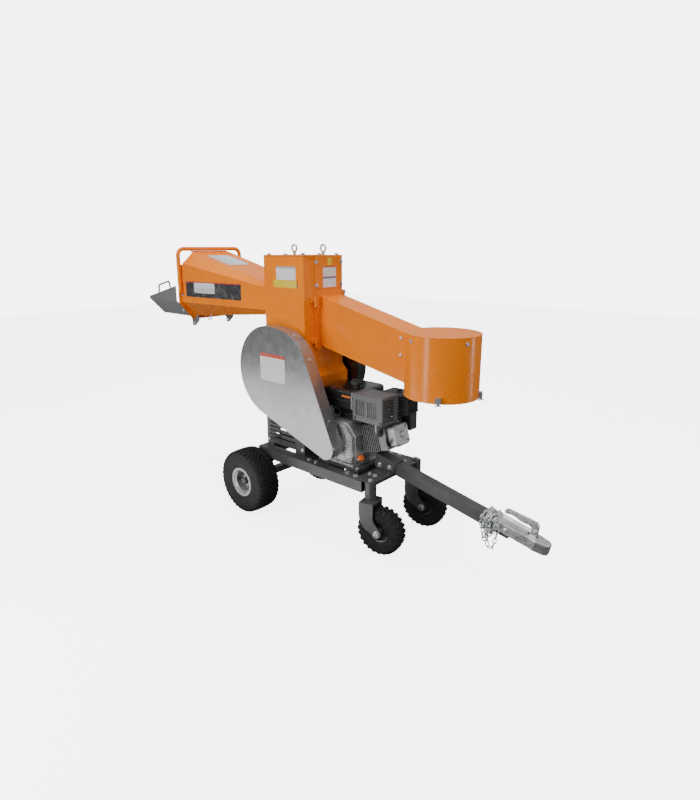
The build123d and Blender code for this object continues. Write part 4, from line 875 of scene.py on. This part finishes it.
def wound_chain():
    """Chain wound a few turns round the sloping drawbar, with three loops that hang on its near side."""
    slope = radians(11.6)
    down = Vector((cos(slope), 0, -sin(slope)))
    up = Vector((sin(slope), 0, cos(slope)))
    bar_centre = Vector((1.090, 0, 0.3245)) - up * 0.0315
    turns, wound_length, steps = 4.4, 0.060, 200
    line = []
    for k in range(steps):
        t = k / (steps - 1)
        a = 2 * pi * turns * t
        reach = (0.0455 + 0.0035 * sin(a * 2.3)) * (1.0 - 0.13 * cos(4 * a))
        onward = down * (wound_length * t + 0.006 * sin(a * 1.7))
        line.append(bar_centre + onward + up * (reach * sin(a)) + Vector(FAR) * (reach * cos(a)))
    piece = Piece()
    lay_links(piece, line, 0.7, 16 * MM)
    sweep, loop_steps = 0.93 * pi / 2, 50
    hanging = ((1.092, 0.034, 0.125, -0.046), (1.112, 0.062, 0.150, -0.053), (1.100, 0.052, 0.098, -0.038))
    for x0, span, drop, y in hanging:
        loop = []
        for k in range(loop_steps):
            a = (k / (loop_steps - 1) * 2 - 1) * sweep
            z = 0.315 - (x0 - 1.09) * 0.2 - drop * (cos(a) - cos(sweep))
            loop.append(Vector((x0 + span / 2 * (1 + sin(a)), y + 0.004 * sin(k * 0.3), z)))
        lay_links(piece, loop, 0.3)
    made = piece.finish("wound_chain", bright_zinc, smooth=60)
    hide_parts("safety_chain")


wound_chain()


# ---------------- engine dress-up
def flat_face(node, towards):
    """Centre, normal, side axes and half sizes of a CAD node's largest flat face in a direction."""
    mesh = bpy.data.objects[node].data
    towards = Vector(towards).normalized()
    groups = {}
    for poly in mesh.polygons:
        if poly.normal.dot(towards) < 0.8:
            continue
        key = tuple(round(v, 2) for v in poly.normal) + (round(poly.normal.dot(poly.center), 4),)
        groups.setdefault(key, [0.0, []])
        groups[key][0] += poly.area
        groups[key][1] += [mesh.vertices[i].co.copy() for i in poly.vertices]
    key = max(sorted(groups), key=lambda k: groups[k][0])
    normal = Vector(key[:3]).normalized()
    side = Vector(UP).cross(normal)
    side = side.normalized() if side.length > 0.1 else Vector(FAR)
    up = normal.cross(side)
    points = groups[key][1]
    s0, s1 = min(p.dot(side) for p in points), max(p.dot(side) for p in points)
    u0, u1 = min(p.dot(up) for p in points), max(p.dot(up) for p in points)
    level = sum(p.dot(normal) for p in points) / len(points)
    centre = side * (s0 + s1) / 2 + up * (u0 + u1) / 2 + normal * level
    return centre, normal, side, up, (s1 - s0) / 2, (u1 - u0) / 2


def bead_round(piece, box, grow, radius, z, wire):
    """Closed bead at one height that follows a box's rounded outline, grow outside it."""
    low, high = box
    inset = radius - grow
    x0, x1, y0, y1 = low.x + inset, high.x - inset, low.y + inset, high.y - inset
    points = []
    for x, y, start in ((x1, y1, 0), (x0, y1, 90), (x0, y0, 180), (x1, y0, 270)):
        points += [Vector((x, y, z)) + flat_arm(radians(start + 15 * k)) * radius for k in range(7)]
    tube(piece, points, wire, 8, closed=True)


def rib(piece, a, b, width, height, out):
    """Raised rib with sloped sides between two points on a surface; width and height in mm."""
    a, b, out = Vector(a), Vector(b), Vector(out).normalized()
    half, height = width / 2 * MM, height * MM
    section = [(-1 * MM, -half), (height, -half * 0.55), (height, half * 0.55), (-1 * MM, half)]
    slab(piece, section, 0.0, (b - a).length, frame_at(a, (b - a).normalized(), out))


def upright_rib(piece, x, y, foot, top, width, height, out):
    """Rib that stands on a wall between two heights."""
    rib(piece, (x, y, foot), (x, y, top), width, height, out)


def tank_trim():
    """Seam bead, two bolts and two plain marks on the fuel tank, and the ribbed grip of its cap."""
    low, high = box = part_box("fuel_tank")
    seam = Piece()
    bead_round(seam, box, 1.5 * MM, 36 * MM, 0.742, 3.2 * MM)
    for x in (low.x + 0.05, high.x - 0.05):
        bolt(seam, (x, low.y + 0.012, 0.797), (0, -0.3, 1), 8)
    seam.finish("tank_seam", black_paint, smooth=60)
    mark_z, orange, grey = 0.768, (0.75, 0.16, 0.01), (0.5, 0.5, 0.5)
    near_mark = sticker("tank_orange", orange, orange, 0.9)
    decal("tank_mark_orange", near_mark, (0.300, low.y, mark_z), NEAR, 0.060, 0.010, "black_paint")
    front_mark = sticker("tank_grey", grey, grey, 0.9)
    decal("tank_mark_grey", front_mark, (high.x, 0.015, mark_z), FRONT, 0.130, 0.008, "black_paint")
    cap = Piece()
    cap_reach, grip_height = 0.0338, 0.012
    root = Vector(joints["fuel_cap_turn"]["pos_m"])
    root.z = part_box("fuel_cap")[1].z - 21 * MM
    for a in turn_steps(20):
        at = root + flat_arm(a) * cap_reach
        rib(cap, at, at + Vector((0, 0, grip_height)), 5, 1.8, flat_arm(a))
    cap.finish("fuel_cap_grip", black_plastic, "tank_cap")


def tank_shroud():
    """Folded black sheet that closes the gap between the crankcase and the tank."""
    shroud = Piece()
    outline = [(0.0, 0.0), (0.150, 0.0), (0.150, 0.040), (0.120, 0.066), (0.020, 0.066), (0.0, 0.050)]
    place = frame_at((0.232, -0.086, 0.628), FAR, FRONT)
    slab(shroud, [(x, -y) for x, y in outline][::-1], 0.0, 0.140, place)
    for x in (0.256, 0.300, 0.344):
        upright_rib(shroud, x, -0.0858, 0.636, 0.676, 8, 3, NEAR)
    for x, z in ((0.274, 0.650), (0.366, 0.642)):
        bolt(shroud, (x, -0.0862, z), NEAR, 8)
    shroud.finish("tank_shroud", black_paint)


def muffler_set():
    """Rounded can, its outlet, and a round elbow to the exhaust port with two flange bolts."""
    low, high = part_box("muffler")
    can = Piece()
    foot, top, depth, near_end = 0.676, high.z, 0.096, low.y + 0.014
    outline = rounded_rect(high.x - low.x, top - foot, 0.034)
    place = frame_at(((low.x + high.x) / 2, near_end, (foot + top) / 2), FAR, FRONT)
    slab(can, outline, 0.0, depth, place)
    tube(can, [place @ Vector((x, y, depth / 2)) for x, y in outline], 3.0 * MM, 8, closed=True)
    pipe_x, pipe_y, bend_z, bend = 0.504, -0.108, 0.628, 0.034
    pipe = [(pipe_x, pipe_y, 0.690), (pipe_x, pipe_y, 0.640)]
    for k in range(9):
        a = pi / 2 * k / 8
        pipe.append((pipe_x, pipe_y + bend * (1 - cos(a)), bend_z - bend * sin(a)))
    pipe.append((pipe_x, -0.056, bend_z - bend))
    tube(can, pipe, 14 * MM, 24)
    outlet = mm((14, 0), (15, 0), (15, 12), (12, 12), (12, 2))
    lathe(can, outlet, frame_at((0.420, near_end, 0.746), NEAR), 28)
    for x in (pipe_x - 0.022, pipe_x + 0.022):
        bolt(can, (x, -0.0605, bend_z - bend), NEAR, 10)
    made = can.finish("exhaust_can", exhaust_steel, smooth=50)
    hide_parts("muffler")


def guard_trim():
    """Rolled rim and screws of the muffler's guard, and the louvres beside it."""
    low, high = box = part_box("muffler_guard")
    rim = Piece()
    bead_round(rim, box, -2 * MM, 6 * MM, high.z - 2 * MM, 3 * MM)
    bead_round(rim, box, -14 * MM, 10 * MM, high.z - 0.2 * MM, 1.6 * MM)
    for x in (low.x + 0.012, high.x - 0.012):
        bolt(rim, (x, low.y - 0.2 * MM, low.z + 0.014), NEAR, 8)
    rim.finish("guard_frame", guard_steel, smooth=60)
    fins = Piece()
    section = mm((500, -10), (560, -10), (574, -4), (580, 6), (572, 6), (560, -2), (500, -2))
    first, pitch, thickness = 0.668, 0.0152, 0.007
    for k in range(9):
        slab(fins, section, 0.0, thickness, Matrix.Translation((0, 0, first + pitch * k)))
    upright_rib(fins, 0.530, 0.0, 0.664, 0.796, 8, 6, NEAR)
    fins.finish("cooling_louvres", black_plastic)


def cleaner_trim():
    """Ribs around the air cleaner, a bead above and below them, and the knob on its lid."""
    low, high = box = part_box("air_cleaner")
    ribs = Piece()
    foot, top, sunk = 0.694, 0.768, 0.2 * MM
    for k in range(8):
        upright_rib(ribs, high.x - sunk, 0.034 + 0.0132 * k, foot, top, 6.5, 3.6, FRONT)
    for k in range(9):
        for y, s in ((high.y, 1), (low.y, -1)):
            upright_rib(ribs, 0.438 + 0.0155 * k, y - s * sunk, foot, top, 6.5, 3.4, (0, s, 0))
    for z in (0.775, 0.6905):
        bead_round(ribs, box, 1 * MM, 23 * MM, z, 2.4 * MM)
    knob = mm((20, -1), (20, 2), (13, 4), (13, 12), (10, 14), (2, 14.5))
    lathe(ribs, knob, frame_at(((low.x + high.x) / 2, 0.080, high.z), UP), 24)
    ribs.finish("air_cleaner_ribs", black_plastic, smooth=40)


def crankcase_trim():
    """Bolted side cover with ribs around the crank's boss, and ribs along the front edge."""
    cover = Piece()
    low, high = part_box("engine_crankcase")
    centre, normal, side, up, half_s, half_u = flat_face("engine_crankcase", NEAR)
    inset = 0.012
    for a in turn_steps(14):
        at = centre + side * (half_s - inset) * cos(a) + up * (half_u - inset) * sin(a)
        bolt(cover, at, normal, 8)
    y = low.y + 0.2 * MM
    for k in range(10):
        z = 0.410 + 0.0155 * k
        rib(cover, (high.x - 0.052, y, z), (high.x - 0.018, y, z), 6, 3, NEAR)
    middle = Vector((crank.x, low.y, crank.z))
    boss = mm((46, 0), (44, 7), (30, 10), (29, 16), (18, 17))
    lathe(cover, boss, frame_at(middle, NEAR), 40)
    for a in turn_steps(8):
        rib(cover, middle + side_arm(a) * 0.045, middle + side_arm(a) * 0.085, 5, 4, NEAR)
    cover.finish("crankcase_cover", cast_alloy, smooth=40)


def mount_bolts():
    """A bolt near each corner of the engine's mounting plate."""
    centre, normal, side, up, half_s, half_u = flat_face("engine_mount", UP)
    inset = 0.013
    places = [(centre + side * s * (half_s - inset) + up * u * (half_u - inset), normal)
              for s in (-1, 1) for u in (-1, 1)]
    bolt_group("mount_bolts", places, 11)


def head_trim():
    """Boss, corner bolts and two ribs on the rocker cover, and the spark plug's boot."""
    head = Piece()
    centre, normal, side, up, half_s, half_u = flat_face("rocker_cover", (1, 0, 0.3))
    inset, rib_rise, rib_inset = 0.009, 0.030, 0.018
    boss = mm((21, 0), (20, 5), (15, 7), (14, 9), (4, 9.5))
    lathe(head, boss, frame_at(centre, normal), 32)
    for s in (-1, 1):
        for u in (-1, 1):
            bolt(head, centre + side * s * (half_s - inset) + up * u * (half_u - inset), normal, 8)
        middle, reach = centre + up * s * rib_rise, side * (half_s - rib_inset)
        rib(head, middle - reach, middle + reach, 6, 3, normal)
    head.finish("rocker_boss", cast_alloy, smooth=40)
    boot = Piece()
    path = [(0.548, -0.062, 0.545), (0.556, -0.080, 0.556), (0.562, -0.094, 0.572), (0.560, -0.096, 0.590)]
    tube(boot, path, [9 * MM, 8.5 * MM, 7.5 * MM, 5.5 * MM], 16)
    boot.finish("plug_boot", belt_rubber, smooth=60)


def starter_trim():
    """Pressed cover of the pull starter: a dished ring, bars like spokes and three bolts."""
    centre, _, _, _, half_s, half_u = flat_face("recoil_housing", FAR)
    at = Vector((crank.x, centre.y, crank.z))
    reach = min(half_s, half_u) - 0.006
    edge = reach / MM
    dish = Piece()
    profile = mm((edge, -1), (edge - 4, 3), (edge - 12, 3), (edge - 16, 0), (40, 0), (37, 6), (20, 8), (2, 8))
    lathe(dish, profile, frame_at(at, FAR), 56)
    bar_root, bar_end, lean = 0.043, reach - 17 * MM, 0.005
    for a in turn_steps(26):
        out, across = side_arm(a), side_arm(a + pi / 2)
        rib(dish, at + out * bar_root + across * lean, at + out * bar_end - across * lean, 4.5, 3.5, FAR)
    for a in turn_steps(3, radians(30)):
        bolt(dish, at + side_arm(a) * (reach - 8 * MM) + Vector((0, 3 * MM, 0)), FAR, 8)
    dish.finish("starter_cover", black_paint, smooth=40)


def control_bracket():
    """Governor bracket, return spring and rod between the air cleaner and the head, and a breather hose."""
    piece = Piece()
    plate = mm((0, 0), (58, 0), (64, 12), (58, 34), (14, 40), (0, 26))
    slab(piece, plate, 0.0, 3 * MM, frame_at((0.470, 0.092, 0.640), FAR, FRONT))
    spring_start, coil, pitch = Vector((0.476, 0.100, 0.628)), 0.0045, 0.0007
    spring = [spring_start + Vector((pitch * k, coil * cos(k * 0.9), coil * sin(k * 0.9))) for k in range(70)]
    tube(piece, spring, 0.9 * MM, 6)
    rod = [(0.398, 0.086, 0.636), (0.430, 0.094, 0.642), (0.480, 0.098, 0.650), (0.512, 0.100, 0.664)]
    tube(piece, rod, 1.6 * MM, 8)
    for x, z in ((0.484, 0.626), (0.520, 0.622)):
        bolt(piece, (x, 0.0925, z), NEAR, 7)
    piece.finish("control_bracket", zinc, smooth=40)
    hose = Piece()
    path = [(0.536, 0.070, 0.590), (0.552, 0.092, 0.606), (0.556, 0.104, 0.640), (0.540, 0.110, 0.676),
            (0.520, 0.112, 0.690)]
    tube(hose, path, 8 * MM, 14)
    hose.finish("breather_hose", belt_rubber, smooth=60)


for trim in (tank_trim, tank_shroud, muffler_set, guard_trim, cleaner_trim, crankcase_trim, mount_bolts,
             head_trim, starter_trim):
    trim()


# ---------------- stand louvres, hopper hooks and flywheel guard
def stand_louvres():
    """Five louvres on each side of the stand."""
    vents = Piece()
    section = mm((-0.5, 0), (6, 1), (7, 3), (-0.5, 14))
    for s in (-1, 1):
        outline = section if s < 0 else [(x, -y) for x, y in section][::-1]
        for k in range(5):
            place = frame_at((-0.262, s * 0.172, 0.432 + 0.024 * k), FRONT, (0, s, 0))
            slab(vents, outline, 0.0, 0.095, place)
    vents.finish("stand_louvres", frame_paint, smooth=30)


def hopper_hardware():
    """A bent hook on each side of the hopper, and the bolts of its rim."""
    hook = Piece()
    hook_x, bend = -0.795, ((0.176, 1.126), (0.176, 1.104), (0.184, 1.094), (0.196, 1.094), (0.202, 1.104))
    for s in (-1, 1):
        tube(hook, [(hook_x, s * y, z) for y, z in bend], 4 * MM, 12)
    hook.finish("hopper_hooks", zinc, smooth=60)
    rim_x, rim_y = -1.028, 0.2275
    places = [((rim_x, s * rim_y, z), (0, s, 0)) for s in (-1, 1) for z in (1.139, 1.24, 1.36)]
    bolt_group("hopper_rim_bolts", places, 10)


def flywheel_guard_ring():
    """Pressed rings on the round guard at the far side, and its bolts."""
    low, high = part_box("flywheel_guard")
    ring = Piece()
    reach = (high.x - low.x) / 2
    place = frame_at((drum.x, high.y, drum.z), FAR)
    for share in (0.93, 0.55):
        hoop(ring, place, reach * share, 0.0, 2.6 * MM, 96)
    for a in turn_steps(8, 0.2):
        bolt(ring, place @ (flat_arm(a) * reach * 0.86), FAR, 10)
    ring.finish("flywheel_guard_ring", black_paint, smooth=60)


stand_louvres()
hopper_hardware()
control_bracket()
flywheel_guard_ring()


# ---------------- floor, light and camera
def level_sheet(name, xs, ys, z, paint, pale, patch, roughness, specular, strength):
    """Level sheet that glows evenly, with a faint drift between two pale colours."""
    mesh = bpy.data.meshes.new(name)
    (x0, x1), (y0, y1) = xs, ys
    mesh.from_pydata([(x0, y0, z), (x1, y0, z), (x1, y1, z), (x0, y1, z)], [], [(0, 1, 2, 3)])
    sheet = bpy.data.objects.new(name, mesh)
    bpy.context.scene.collection.objects.link(sheet)
    t = Tree(paint)
    drift = t.mix(t.noise(*patch), *pale)
    grain = t.bump(t.noise(40.0, 3.0), 0.02, 0.5 * MM)
    mesh.materials.append(t.done(drift, roughness, grain, specular=specular))
    t.glow(strength)
    return sheet


def studio_world():
    """Pale surroundings, darker towards the floor; the camera itself sees plain white."""
    world = bpy.data.worlds.new("studio")
    bpy.context.scene.world = world
    world.use_nodes = True
    nodes, links = world.node_tree.nodes, world.node_tree.links
    ambient = nodes["Background"]
    ambient.inputs["Color"].default_value = (0.96, 0.98, 1.0, 1)
    where = nodes.new("ShaderNodeTexCoord")
    height = nodes.new("ShaderNodeSeparateXYZ")
    links.new(where.outputs["Generated"], height.inputs["Vector"])
    fall = nodes.new("ShaderNodeMapRange")
    for name, value in (("From Min", -0.20), ("From Max", 0.90), ("To Min", 0.12), ("To Max", 0.85)):
        fall.inputs[name].default_value = value
    links.new(height.outputs["Z"], fall.inputs["Value"])
    links.new(fall.outputs["Result"], ambient.inputs["Strength"])
    seen = nodes.new("ShaderNodeBackground")
    seen.inputs["Color"].default_value = (1.0, 1.0, 1.0, 1)
    seen.inputs["Strength"].default_value = 6.0
    path = nodes.new("ShaderNodeLightPath")
    mix = nodes.new("ShaderNodeMixShader")
    links.new(path.outputs["Is Camera Ray"], mix.inputs["Fac"])
    links.new(ambient.outputs["Background"], mix.inputs[1])
    links.new(seen.outputs["Background"], mix.inputs[2])
    links.new(mix.outputs["Shader"], nodes["World Output"].inputs["Surface"])


def softbox(name, at, target, size, power, mirrored=True):
    """Rectangular lamp aimed at a point; mirrored says whether glossy surfaces show it."""
    light = bpy.data.lights.new(name, "AREA")
    light.energy = power
    light.shape = "RECTANGLE"
    light.size, light.size_y = size
    lamp = bpy.data.objects.new(name, light)
    bpy.context.scene.collection.objects.link(lamp)
    lamp.location = at
    lamp.visible_glossy = mirrored
    lamp.rotation_euler = (Vector(target) - Vector(at)).to_track_quat("-Z", "Y").to_euler()


floor_span = (-12.0, 12.0)
floor_pale = ((0.93, 0.93, 0.935), (0.96, 0.96, 0.965))
floor = level_sheet("floor", floor_span, floor_span, 0.0, "floor_paint", floor_pale, (2.0, 2.0),
                    roughness=0.7, specular=0.2, strength=4.5)
floor.visible_glossy = False
floor.visible_diffuse = False
# The low card shows only in glossy surfaces, as the pale ground does in the photo.
card_pale = ((0.9, 0.9, 0.9), (1.0, 1.0, 1.0))
card = level_sheet("low_card", (-3.4, 0.7), (-2.55, -0.5), 0.002, "card_glow", card_pale, (1.5, 3.0),
                   roughness=0.8, specular=0.0, strength=1.5)
card.visible_camera = False
card.visible_diffuse = False
card.visible_shadow = False
studio_world()
machine_middle, hood_middle = (0.1, 0.0, 0.8), (0.77, 0.07, 0.9)
softbox("key", (-0.4, -3.8, 3.6), machine_middle, (2.4, 2.4), 120)
softbox("hood_strip", (-0.06, -2.9, 0.55), hood_middle, (0.36, 1.3), 24)
softbox("edge_strip", (3.15, 1.95, 0.6), hood_middle, (0.16, 1.2), 12)
softbox("front", (4.2, 0.9, 2.4), machine_middle, (1.6, 2.2), 32)
softbox("top", (0.2, 0.2, 5.0), machine_middle, (3.4, 2.6), 85, mirrored=False)
softbox("back", (-2.8, 3.2, 3.0), machine_middle, (2.4, 1.6), 50, mirrored=False)

camera_data = bpy.data.cameras.new("camera")
camera = bpy.data.objects.new("camera", camera_data)
bpy.context.scene.collection.objects.link(camera)
camera.location = (2.1803, -2.2157, 1.5394)
camera_pitch, camera_heading = 14.10, 41.44
camera.rotation_euler = (radians(90 - camera_pitch), 0, radians(camera_heading))
camera_data.sensor_width = 36.0
camera_data.lens = 24.7725
camera_data.shift_y = -0.01875
bpy.context.scene.camera = camera

bpy.context.view_layer.update()
